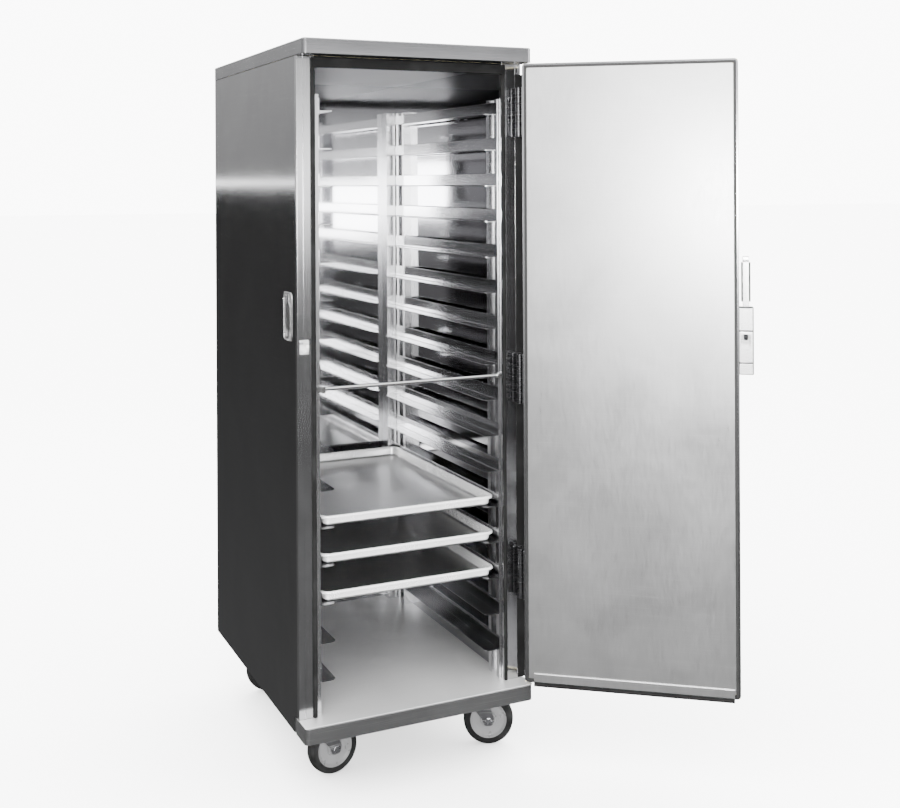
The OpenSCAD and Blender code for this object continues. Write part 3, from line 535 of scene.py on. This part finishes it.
slide_low, slide_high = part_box("pan_slides")
pitch, rows = 0.0889, 16
reach, metal, corner = 0.038, 0.0016, 0.012
wall = slide_high[0]
inner = wall - reach
ledge = rounded([(inner, -metal), (wall, -metal), (wall, 0.030), (wall - metal, 0.030), (wall - metal, 0),
                 (inner, 0)], [0.0007, 0.0026, 0.0007, 0.0007, 0.0011, 0.0007])
ends = 1 - np.cos(np.linspace(0, math.pi / 2, 6))
stations = np.concatenate([slide_low[1] + corner * ends, slide_high[1] - corner * ends[::-1]])
inset = corner * (1 - np.sqrt(1 - (1 - np.concatenate([ends, ends[::-1]])) ** 2))
grid = np.broadcast_to(ledge[0], (len(stations),) + ledge[0].shape)
angle = np.stack([np.maximum(grid[..., 0], (inner + inset)[:, None] + 1e-5 * (grid[..., 1] + metal) / metal),
                  np.broadcast_to(stations[:, None], grid.shape[:2]), grid[..., 1]], -1)
lowest = slide_low[2] + metal
hang("pan_slide_angles", "cabinet", "pan_slides",
     [angle * (side, 1, 1) + (0, 0, lowest + row * pitch) for row in range(rows) for side in (-1, 1)],
     slide_steel)

# The tie bar: bright round rod across the rack's front, its ends in two forks.
def turned(profile, steps=48):
    """Rings of a shape turned about Z: the point (r, h) becomes (r cos a, r sin a, h), a round the turn."""
    a = np.arange(steps) * 2 * math.pi / steps
    r, h = np.array(profile, float).T
    ring = np.stack([np.cos(a), np.sin(a)], 1)[None] * r[:, None, None]
    return np.concatenate([ring, np.broadcast_to(h[:, None, None], ring.shape[:2] + (1,))], 2)


bright = steel("bright rod", (0.80, 0.80, 0.80), 0.14, (10, 300, 300), contrast=0.1, clouds=0.2,
               scratch=0.14)
low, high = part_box("rack_tie_bar")
r = (high[2] - low[2]) / 2
centre = (low + high) / 2
rod = turned([(r - 0.001, low[0]), (r, low[0] + 0.001), (r, high[0] - 0.001), (r - 0.001, high[0])], 32)
hang("tie_bar_rod", "cabinet", "rack_tie_bar",
     [rod[..., [2, 0, 1]] + (0, centre[1], centre[2])], bright)
paint(["tie_bar_forks"], bright)

# ---------------------------------------------------------------- sheet pans
# Full-size pressed aluminium pans with leaning walls and a rim rolled round a wire; the rims carry a painted
# highlight, a paler, less metallic copy of the pan's metal with a few scuffs, and the bottoms are dull from
# baking.
pan_metal = steel("pan aluminium", (0.50, 0.50, 0.50), 0.30, (500, 500, 500), contrast=0.06, clouds=0.14,
                  spread=0.06, scratch=0.0, bump=0.005)
# Painted highlight: a whiter, less metallic copy of the pan's aluminium, with light scratches as real scuffs.
rim_highlight_metal = steel("scuffed pan rim", (0.80, 0.80, 0.80), 0.26, (400, 400, 400), contrast=0.10, spread=0.12,
                  scratch=0.05, bump=0.01, metallic=0.6)
pan_profile = [(0.024, 0.0017), (0.0180, 0.0016), (0.0150, 0.0020), (0.0130, 0.0034), (0.0120, 0.0056),
               (0.0096, 0.0180), (0.0088, 0.0212), (0.0074, 0.0237), (0.0058, 0.0248), (0.0038, 0.0250),
               (0.0018, 0.0244), (0.0005, 0.0229), (0.0000, 0.0210), (0.0005, 0.0191), (0.0020, 0.0178),
               (0.0040, 0.0176), (0.0062, 0.0180), (0.0080, 0.0172), (0.0104, 0.0050), (0.0116, 0.0020),
               (0.0140, 0.0005), (0.0180, 0.0000), (0.024, 0.0000)]
for number in (1, 2, 3):
    low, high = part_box("sheet_pan_%d" % number)
    rim = rectangle(low[0], high[0], low[1], high[1], 0.0255, 12)
    pan = shell("sheet_pan_%d_pressed" % number, [plate(rim, pan_profile) + (0, 0, low[2])], pan_metal,
                sharp=60)
    pan.data.materials.append(rim_highlight_metal)
    # Faces more than 4.5 mm above the pan's foot, the walls and the rim, take the painted highlight.
    for face in pan.data.polygons:
        face.material_index = int(face.center.z > low[2] + 0.0045)
    fit(pan, "pan_%d" % number, "sheet_pan_%d" % number)

# ---------------------------------------------------------------- side pull
# A pressed chrome dish let into the left wall, with a flat bright grip that
# stands across its mouth from top to bottom.
chrome = steel("satin chrome", (0.80, 0.80, 0.80), 0.20, (80, 80, 80), contrast=0.05, clouds=0.2)
low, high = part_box("side_pull_dish")
skin_face = low[0] + 0.0015
dish_profile = [(0.014, -0.022), (0.0085, -0.0214), (0.0062, -0.0195), (0.0052, -0.016), (0.0050, -0.001),
                (0.0045, 0.0008), (0.0034, 0.0015), (0.0012, 0.0015), (0.0003, 0.0010), (0.0, 0.0002),
                (0.0034, 0.0), (0.0036, -0.020), (0.0060, -0.0228), (0.014, -0.0235)]
dish = plate(rectangle(low[1], high[1], low[2], high[2], 0.015, 8), dish_profile)
dish = np.stack([skin_face - dish[..., 2], dish[..., 0], dish[..., 1]], -1)
hang("side_pull_pressed_dish", "cabinet", "side_pull_dish", [dish], chrome)

low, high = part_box("side_pull_grip")
mid_y, mid_z = (low[1] + high[1]) / 2, (low[2] + high[2]) / 2
arm, half, tall, post = 0.005, (high[1] - low[1]) / 2, 0.032, (high[2] - low[2]) / 2
ring = rounded([(-arm, -post), (arm, -post), (arm, -tall), (half, -tall), (half, tall), (arm, tall),
                (arm, post), (-arm, post), (-arm, tall), (-half, tall), (-half, -tall), (-arm, -tall)],
               [0.001, 0.001, 0.003, 0.005, 0.005, 0.003, 0.001, 0.001, 0.003, 0.005, 0.005, 0.003])
grip = slab(ring, low[0], high[0], 0.0016)[..., [2, 0, 1]] + (0, mid_y, mid_z)
hang("side_pull_flat_grip", "cabinet", "side_pull_grip", [grip], chrome)

# ---------------------------------------------------------------- door shell
# The door is a pressed stainless pan filled with foam and closed by a thin
# aluminium plate; a black plastic strip keeps the two metals apart.
hinge = next(j for j in frame["joints"] if j["name"] == "door_swing")
hinge_x, hinge_y = hinge["pos_m"][:2]
door_open = math.radians(142)


def swung(points):
    """Turns points drawn on the closed door by the angle q that it stands open, about the hinge line (a, b):
    x' = a + (x - a) cos q - (y - b) sin q, y' = b + (x - a) sin q + (y - b) cos q."""
    x, y = points[..., 0] - hinge_x, points[..., 1] - hinge_y
    c, s = math.cos(door_open), math.sin(door_open)
    return np.stack([hinge_x + c * x - s * y, hinge_y + s * x + c * y, points[..., 2]], -1)


door_skin = steel("door skin", (0.50, 0.50, 0.51), 0.16, (700, 700, 10), contrast=0.12, clouds=0.18,
                  spread=0.03, scratch=0.0, bump=0.005)
door_plate = steel("door plate", (0.74, 0.74, 0.74), 0.31, (160, 160, 30), contrast=0.10, scratch=0.19,
                   bump=0.05)
door_half, door_foot, door_head = 0.260, 0.205, 1.727
face, back = soffit_back - 0.048, soffit_back - 0.008
bend = 0.0025
t = np.linspace(0, math.pi / 2, 5)
skin_profile = np.concatenate([[(0.008, face), (0.005, face)],
                               np.stack([bend * (1 - np.sin(t)), face + bend * (1 - np.cos(t))], 1),
                               [(0, back - 0.0008), (0.0006, back), (0.0046, back), (0.0050, back - 0.0006),
                                (0.0046, back - 0.0012), (0.0016, back - 0.0012), (0.0012, face + 0.002),
                                (0.005, face + 0.0012), (0.008, face + 0.0012)]])
outer = stood(plate(rectangle(-door_half, door_half, door_foot, door_head, 0.009, 6), skin_profile))
hang("door_pressed_skin", "door", "door_outer_skin", [swung(outer)], door_skin)

edge = 0.011
plate_grid = sheet(-door_half + edge, door_half - edge, door_foot + edge, door_head - edge, 0.004, back,
                   soffit_back - 0.006, 0.0009)
hang("door_inner_plate", "door", "door_inner_panel", [swung(plate_grid)], door_plate)


def moulded(name, colour, roughness=0.5, grain_size=1400.0, bump=0.25):
    """Moulded plastic: a fine leathery stipple, and slightly shinier where it has been handled."""
    material, tree, skin = blank(name)
    where = spot(tree)
    stipple = put(tree, "ShaderNodeTexVoronoi", {"Vector": where, "Scale": grain_size}).outputs["Distance"]
    handled = noise(tree, where, 35.0, 4.0)
    shine = put(tree, "ShaderNodeMapRange", {"Value": handled, "To Min": roughness - 0.12,
                                             "To Max": roughness + 0.15})
    paler = tuple(min(1.0, c * 1.5 + 0.002) for c in colour)
    join(tree, skin, colour=mixed(tree, handled, colour + (1,), paler + (1,)), roughness=shine.outputs[0],
         normal=raised(tree, bump, 0.0003, stipple))
    return material


black_plastic = moulded("black plastic", (0.005, 0.005, 0.005))
paint(["door_edge_breaker"], black_plastic)

# The sweep: a ribbed rubber blade that wipes the ledge, held in a metal carrier along the door's foot.
foot, top = 0.198, 0.210
z = np.linspace(foot + 0.002, top - 0.001, 44)
ribs = soffit_back - 0.006 + 0.0034 + 0.0005 * np.cos((z - foot) * 2 * math.pi / 0.0045)
flat = soffit_back - 0.006
line = np.concatenate([[(flat, foot), (flat + 0.0030, foot)], np.stack([ribs, z], 1),
                       [(flat + 0.0028, top), (flat, top)]])
blade = np.stack([np.stack([np.full(len(line), x), line[:, 0], line[:, 1]], 1) for x in (-0.246, 0.236)])
hang("door_sweep_blade", "door", "door_sweep", [swung(blade)], black_rubber)
carrier_box = block((-0.246, flat, top - 0.001), (0.236, flat + 0.0034, 0.229), 0.0008)
hang("door_sweep_carrier", "door", "", [swung(carrier_box)], door_plate)

# ---------------------------------------------------------------- hinges
# Three butt hinges of satin steel: fixed leaves on the post, moving leaves on
# the door's edge, three knuckles each and a black pin with a domed head.
hinge_steel = steel("hinge steel", (0.13, 0.13, 0.135), 0.28, (90, 90, 90), contrast=0.08, scratch=0.14)
black_oxide = steel("black oxide", (0.022, 0.022, 0.023), 0.42, (120, 120, 120), contrast=0.3, clouds=0.4,
                    scratch=0.087)
zinc = steel("zinc plate", (0.62, 0.62, 0.65), 0.24, (200, 200, 200), clouds=0.5)
hinge_tall, knuckle_r, pin_r, gap = 0.122, 0.0075, 0.003, 0.0004
knuckle_tall = (hinge_tall - 2 * gap) / 3
levels = np.array([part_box("door_outer_skin")[1][2] - 0.118, door_foot + 0.743, door_foot + 0.261])


def knuckle(low, high):
    e = 0.0006
    ring = turned([(pin_r + 0.0001, low), (knuckle_r - e, low), (knuckle_r, low + e), (knuckle_r, high - e),
                   (knuckle_r - e, high), (pin_r + 0.0001, high), (pin_r + 0.0001, low)], 32)
    return ring + (hinge_x, hinge_y, 0)


fixed, moving, pins = [], [], []
leaf_low, leaf_high = hinge_x - 0.006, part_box("hinge_jamb")[1][0] - 0.001
for level in levels:
    low, high = level - hinge_tall / 2, level + hinge_tall / 2
    fixed.append(sheet(leaf_low, leaf_high, low, high, 0.003, soffit_back - 0.003, soffit_back, 0.0005))
    for a, b in ((low, low + knuckle_tall), (high - knuckle_tall, high)):
        fixed += [knuckle(a, b), block((hinge_x + 0.0040, hinge_y + 0.001, a + 0.0003),
                                       (hinge_x + knuckle_r, soffit_back - 0.0025, b - 0.0003), 0.0008)]
    a, b = low + knuckle_tall + gap, high - knuckle_tall - gap
    plate_grid = slab(rectangle(soffit_back - 0.044, soffit_back - 0.010, low, high, 0.003), door_half,
                      door_half + 0.0025, 0.0005)[..., [2, 0, 1]]
    moving += [swung(plate_grid), swung(knuckle(a, b)),
               swung(block((door_half + 0.0005, hinge_y - 0.002, a + 0.0003),
                           (hinge_x - 0.0045, hinge_y + 0.002, b - 0.0003), 0.0006))]
    dome = [(0.0030, high), (knuckle_r - 0.001, high + 0.0002), (knuckle_r - 0.0011, high + 0.0010),
            (knuckle_r - 0.0025, high + 0.0018), (0.0015, high + 0.0020)]
    pins.append(turned([(pin_r - 0.0006, low), (pin_r, low + 0.0006)] + dome, 24) + (hinge_x, hinge_y, 0))
hang("hinge_fixed_leaves", "cabinet", "hinge_frame_leaves", fixed, hinge_steel)
hang("hinge_moving_leaves", "door", "hinge_door_leaves", moving, hinge_steel)
hang("hinge_domed_pins", "cabinet", "hinge_pins", pins, black_oxide)

# ---------------------------------------------------------------- door latch
# A die-cast chrome case in three lengths on the door's free edge. A lever with
# a dark pad tilts on a pin, and its toe lifts a black bolt against a spring.
cast_chrome = steel("cast chrome", (0.88, 0.88, 0.88), 0.22, (300, 300, 300), contrast=0.05, clouds=0.22,
                    scratch=0.08, metallic=0.8)
case_x0, case_x1 = -0.291, -0.260
middle = (case_x0 + case_x1) / 2
strike_z = 1.056
case_out, case_in = soffit_back - 0.060, soffit_back - 0.005
foot, waist, shoulder, top = 0.978, 1.0040, 1.0800, 1.134
seam = 0.0013
case = [sheet(case_x0, case_x1, foot, waist - seam, 0.0022, case_out, case_in, 0.0012)]

# Middle length: its cabinet face is open where the strike enters.
outline = rectangle(case_x0, case_x1, waist + seam, shoulder - seam, 0.0022, 5)
pocket = rectangle(middle - 0.011, middle + 0.011, strike_z - 0.0165, strike_z + 0.0165, 0.005, 5)[0]
rings = slab(outline, case_out, case_in, 0.0012)
lip = np.concatenate([pocket, np.full((len(pocket), 1), case_in)], 1)
hollow = [lip, np.concatenate([pocket, np.full((len(pocket), 1), case_in - 0.030)], 1)]
case.append(stood(np.concatenate([rings, hollow])))

# Upper length: slotted for the lever on its outer side.
slot = 0.0085
for x0, x1 in ((case_x0, middle - slot), (middle + slot, case_x1)):
    case.append(sheet(x0, x1, shoulder + seam, top, 0.0012, case_out, case_in, 0.0008))
case.append(block((middle - slot - 0.001, case_out + 0.022, shoulder + 0.0017),
                  (middle + slot + 0.001, case_in - 0.0001, top - 0.0004), 0.0008))
hang("latch_cast_case", "door", "latch_body", [swung(g) for g in case], cast_chrome)

# A black seal under the case, its lip round the case's foot: partly a real black plastic seal, partly a
# painted shadow outline round the case. Black cores in the seams are painted shade.
rim = rectangle(case_x0 - 0.0024, case_x1 + 0.0007, foot - 0.0026, top + 0.0024, 0.003)
seal_and_shadow_rim = stood(plate(rim, [(0.0, case_in - 0.015), (0.0056, case_in - 0.015), (0.0056, case_in - 0.009),
                         (0.0, case_in - 0.009), (0.0, case_in - 0.015)]))
seam_shade_half, seam_shade_x0, seam_shade_x1, seam_shade_out = 0.0016, case_x0 + 0.0008, case_x1 - 0.0008, case_out + 0.001
seam_shade_cores = [sheet(a, b, z - seam_shade_half, z + seam_shade_half, 0.0006, front, case_in - 0.0006, 0.0004)
         for a, b, z, front in (
             (seam_shade_x0, seam_shade_x1, waist, seam_shade_out), (seam_shade_x0, middle - slot - 0.0005, shoulder, seam_shade_out),
             (middle + slot + 0.0005, seam_shade_x1, shoulder, seam_shade_out),
             (middle - slot - 0.0004, middle + slot + 0.0004, shoulder, case_in - 0.004))]
hang("latch_case_seal", "door", "", [swung(g) for g in [seal_and_shadow_rim] + seam_shade_cores], black_plastic)

pivot = np.array([middle, case_out + 0.010, 1.108])
pin = turned([(0.0024, case_x0 - 0.0002), (0.003, case_x0 + 0.0004), (0.003, case_x1 - 0.0004),
              (0.0024, case_x1 + 0.0002)], 24)[..., [2, 0, 1]] + (0, pivot[1], pivot[2])
hang("latch_pin", "door", "latch_pivot_pin", [swung(pin)], zinc)

# Lever: an upright bar with a round boss at the pin and a flared head.
lever_half, lever_top = 0.0075, 1.254
lever_in = pivot[1] + 0.001
bar_profile = rounded([(pivot[1] - 0.007, pivot[2]), (lever_in, pivot[2]), (lever_in, lever_top - 0.013),
                       (lever_in + 0.004, lever_top - 0.008), (lever_in + 0.004, lever_top),
                       (pivot[1] - 0.011, lever_top), (pivot[1] - 0.011, lever_top - 0.008),
                       (pivot[1] - 0.007, lever_top - 0.013)],
                      [0.0008, 0.0008, 0.002, 0.0015, 0.002, 0.002, 0.0015, 0.002])
bar = slab(bar_profile, middle - lever_half, middle + lever_half, 0.0012)[..., [2, 0, 1]]
boss = turned([(0.0031, -lever_half), (0.0062, -lever_half), (0.0070, -lever_half + 0.0008),
               (0.0070, lever_half - 0.0008), (0.0062, lever_half), (0.0031, lever_half),
               (0.0031, -lever_half)], 32)[..., [2, 0, 1]] + pivot
toe = block((middle - 0.002, pivot[1] + 0.004, pivot[2] - 0.005),
            (middle + 0.002, soffit_back - 0.012, pivot[2]), 0.0006)
hang("latch_lever_bar", "latch_lever", "latch_handle",
     [swung(bar), swung(boss), swung(toe)], cast_chrome)

# Pad: dark moulding along the lever with cross ribs for the fingers.
low_z, high_z, pad_face = 1.146, 1.240, pivot[1] - 0.007
z = np.linspace(0, 1, 90)
swell = 0.0042 + 0.0007 * np.cos(z * 2 * math.pi * 17)
ease = np.minimum(1, np.minimum(z, 1 - z) / 0.05)
edge = lever_half + 0.0036
hold = lever_half + 0.0001
outline = rounded([(-edge, -1), (edge, -1), (edge, 0.006), (hold, 0.006), (hold, 0.0), (-hold, 0.0),
                   (-hold, 0.006), (-edge, 0.006)], 0.0002, 2)[0]
depth = (outline[:, 1] < -0.5).astype(float)
pad = np.stack([np.broadcast_to(middle + outline[:, 0], (90, len(outline))),
                pad_face + np.maximum(outline[:, 1], -0.0001) * np.ones((90, 1))
                - depth[None] * (0.0006 + swell[:, None] * np.sqrt(ease)[:, None]),
                np.broadcast_to((low_z + (high_z - low_z) * z)[:, None], (90, len(outline)))], -1)
hang("latch_ribbed_pad", "latch_lever", "latch_grip",
     [swung(pad)], black_plastic, sharp=65)

# Bolt: a flat black bar whose lower end is rounded, with a window for the toe.
bolt_y = soffit_back - 0.019
bolt_x0, bolt_x1, bolt_foot, bolt_top = middle - 0.005, middle + 0.005, 1.0575, 1.114
end = rounded([(bolt_x0, bolt_foot), (bolt_x1, bolt_foot), (bolt_x1, bolt_top), (bolt_x0, bolt_top)],
              [0.0035, 0.0035, 0.001, 0.001], 6)
hang("latch_flat_bolt", "bolt", "latch_bolt",
     [swung(stood(slab(end, bolt_y, bolt_y + 0.006, 0.0005)))], black_oxide)

# Spring: wire wound on a helix, (R cos a, R sin a, z0 + p a), its section a
# small circle square to the wire.
coil_r, wire, turns = 0.0034, 0.0006, 5
a = np.linspace(0, turns * 2 * math.pi, 121)
spring_low, spring_high = 1.1150, 1.1302
rise = spring_low + (spring_high - spring_low) * a / a[-1]
out = np.stack([np.cos(a), np.sin(a), 0 * a], 1)
up = np.array([0, 0, 1.0])
path = coil_r * out + rise[:, None] * up
b = np.arange(8) * math.pi / 4
wire_grid = (path[:, None] + wire * (np.cos(b)[None, :, None] * out[:, None] + np.sin(b)[None, :, None] * up)
             + (middle, bolt_y + 0.003, 0))
spring = hang("latch_coil_spring", "door", "latch_spring", [swung(wire_grid)], zinc)
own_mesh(spring)

# ---------------------------------------------------------------- strike
# A chromed plate on the left post with a ramped hook; two small cross-headed
# screws hold it, and the same screws hold the hinge leaves.
low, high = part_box("latch_strike")
strike_x = (low[0] + high[0]) / 2
strike_plate = sheet(low[0], high[0], strike_z - 0.0165, strike_z + 0.0165, 0.003, soffit_back - 0.002,
                     soffit_back, 0.0005)
hook = rounded([(soffit_back - y, strike_z + z) for y, z in (
    (0.024, -0.008), (0.024, 0.001), (0.0215, 0.007), (0.020, 0.007), (0.020, 0), (0.0015, 0),
    (0.0015, -0.012))], [0.0012, 0.0005, 0.0004, 0.0004, 0.0006, 0.0006, 0.0004])
hook = slab(hook, strike_x - 0.003, strike_x + 0.003, 0.0006)[..., [2, 0, 1]]
hang("strike_plate_and_hook", "cabinet", "latch_strike", [strike_plate, hook], cast_chrome)

# Cross slot: the ring's radius is min(L / max(|c|, |s|), w / min(|c|, |s|)), a
# plus sign of arms L long and 2 w wide, c and s the cosine and sine of its angle.
angles = np.arange(48) * 2 * math.pi / 48 + 0.001
c, s = np.cos(angles), np.sin(angles)
cross = np.minimum(0.0020 / np.maximum(abs(c), abs(s)), 0.00045 / np.minimum(abs(c), abs(s)))
rings = [(0.0023, 0.0), (0.0038, 0.0), (0.0040, 0.0003), (0.0037, 0.0012), (0.0028, 0.0018)]
rings += [(cross, 0.0019), (cross * 0.9, 0.0009)]
head = np.stack([np.stack([np.broadcast_to(r, 48), np.full(48, h)]) for r, h in rings])
head = np.stack([head[:, 0] * c, -head[:, 1], head[:, 0] * s], -1)
leaf_x = (leaf_low + leaf_high) / 2 + 0.0055
places = [(leaf_x, -0.003, level + dz) for level in levels for dz in (-0.049, -0.0243, 0.0243, 0.049)]
places += [(strike_x - 0.007, -0.002, strike_z + 0.010), (strike_x + 0.007, -0.002, strike_z - 0.010)]
hang("cross_headed_screws", "cabinet", "small_screws",
     [head + (x, soffit_back + y, z) for x, y, z in places], zinc)

# ---------------------------------------------------------------- casters
# Four swivel casters: a zinc-plated top plate bolted under a channel, a ball
# race and kingpin, a dark pressed fork, a grey wheel and a moulded black tread.
fork_paint = steel("fork paint", (0.045, 0.045, 0.047), 0.36, (60, 60, 60), contrast=0.15, clouds=0.4,
                   scratch=0.17, metallic=0.6)
wheel_grey = moulded("wheel grey", (0.075, 0.075, 0.076), roughness=0.30, grain_size=700.0, bump=0.08)
tread_rubber = rubber("tread rubber", 0.004, dust=0.12, bump=0.25)
axle_z, trail = 0.0635, 0.040
corners = ("front_left", "front_right", "rear_left", "rear_right")
joints = {j["name"]: j for j in frame["joints"]}
swivels = {n: np.array(joints[n + "_swivel_turn"]["pos_m"][:2]) for n in corners}
turns = {n: math.atan2(joints[n + "_wheel_roll"]["pos_m"][1] - swivels[n][1],
                       joints[n + "_wheel_roll"]["pos_m"][0] - swivels[n][0]) for n in corners}
plate_top, plate_low = 0.157, 0.153
fixed, bolts = [], []


def hexagon(r, corner):
    """Corners at (r cos k, r sin k) for k every sixth of a turn."""
    return rounded([(r * math.cos(k), r * math.sin(k)) for k in np.arange(6) * math.pi / 3], corner, 2)


for n in corners:
    x, y = swivels[n]
    fixed += [block((x - 0.052, y - 0.044, plate_low), (x + 0.052, y + 0.044, plate_top), 0.0012),
              turned([(0.006, plate_low - 0.0070), (0.0262, plate_low - 0.0070),
                      (0.0280, plate_low - 0.0052), (0.0280, plate_low - 0.0010),
                      (0.0292, plate_low + 0.0004), (0.006, plate_low + 0.0004)]) + (x, y, 0),
              turned([(0.0203, 0.1438), (0.0208, 0.1426), (0.0220, 0.1422), (0.0232, 0.1426),
                      (0.0237, 0.1438), (0.0232, 0.1450), (0.0220, 0.1454), (0.0208, 0.1450),
                      (0.0203, 0.1438)]) + (x, y, 0),
              turned([(0.0050, 0.1250), (0.0082, 0.1252), (0.0090, 0.1260), (0.0090, 0.1295),
                      (0.0060, 0.1300), (0.0060, 0.1500)]) + (x, y, 0)]
    for dx in (-0.038, 0.038):
        for dy in (-0.030, 0.030):
            head = plate(hexagon(0.0075, 0.0005), [(0.0016, plate_low - 0.0050), (0.0006, plate_low - 0.0049),
                                                   (0.0, plate_low - 0.0043), (0.0, plate_low)])
            shank = turned([(0.004, plate_low - 0.001), (0.004, 0.1640), (0.0032, 0.1648)], 20)
            bolts += [head + (x + dx, y + dy, 0), shank + (x + dx, y + dy, 0)]
hang("caster_top_plates", "cabinet", "caster_plates", fixed, zinc)
hang("caster_hex_bolts", "cabinet", "caster_bolts", bolts, zinc)


def at_caster(points, name):
    """Turns points drawn trailing along +X by the caster's angle q and moves them to its swivel axis."""
    c, s = math.cos(turns[name]), math.sin(turns[name])
    x, y = points[..., 0], points[..., 1]
    return np.stack([swivels[name][0] + c * x - s * y, swivels[name][1] + s * x + c * y, points[..., 2]], -1)


crown = turned([(0.0062, 0.131), (0.0310, 0.131), (0.0330, 0.1328), (0.0330, 0.1352), (0.0295, 0.1400),
                (0.0270, 0.1418), (0.0200, 0.1420), (0.0190, 0.1412), (0.0062, 0.1412), (0.0062, 0.131)])
leg = rounded([(-0.024, 0.127), (trail - 0.0165, axle_z + 0.004), (trail - 0.010, axle_z - 0.0135),
               (trail + 0.010, axle_z - 0.0135), (trail + 0.0155, axle_z + 0.004), (0.027, 0.1405),
               (-0.024, 0.1405)], [0.006, 0.012, 0.008, 0.008, 0.012, 0.003, 0.003], 6)
legs = [stood(slab(leg, a, b, 0.0007)) for a, b in ((0.0185, 0.0215), (-0.0215, -0.0185))]
hub_r, half = 0.0505, 0.016


def mirrored(side, middle=()):
    """A wheel's section: one side, the middle and the same side on the other face, closed at its bore."""
    return [(r, -y) for r, y in side] + list(middle) + side[::-1] + [(side[0][0], -side[0][1])]


disc_side = [(0.0051, half + 0.001), (0.0165, half + 0.001), (0.0180, half), (0.0192, 0.0105),
             (0.0210, 0.0092), (0.0380, 0.0088), (0.0415, 0.0100), (0.0450, 0.0145),
             (0.0465, 0.0150), (hub_r, 0.0150)]
wheel = stood(turned(mirrored(disc_side), 72))
q = np.linspace(-math.pi / 2, math.pi / 2, 15)
tread = np.stack([axle_z - 0.0062 + 0.0062 * np.cos(q) ** 0.8, 0.0158 * np.sin(q)], 1)
lip = 0.0462
tyre_side = [(hub_r, 0.0148), (lip, 0.0148), (lip, 0.0154), (lip + 0.0008, 0.0160), (0.0545, 0.0160)]
tyre = stood(turned(mirrored(tyre_side, tread.tolist()), 96))
nut_profile = [(0.0022, 0.0268), (0.0008, 0.0266), (0.0, 0.0258), (0.0, 0.0216)]
nut = stood(plate(hexagon(0.0098, 0.0006), nut_profile))
shaft = stood(turned([(0.0042, -0.0265), (0.005, -0.0262), (0.005, 0.0292), (0.0040, 0.0300)], 24))
centre = np.array([trail, 0, axle_z])
for n in corners:
    hang(n + "_pressed_fork", n + "_swivel", n + "_fork",
         [at_caster(g, n) for g in [crown] + legs], fork_paint)
    hang(n + "_axle_bolt", n + "_swivel", n + "_axle",
         [at_caster(g + centre, n) for g in (nut, nut * (1, -1, 1), shaft)], zinc)
    hang(n + "_dished_wheel", n + "_roller", n + "_wheel",
         [at_caster(wheel + centre, n)], wheel_grey)
    hang(n + "_moulded_tread", n + "_roller", n + "_tyre",
         [at_caster(tyre + centre, n)], tread_rubber)
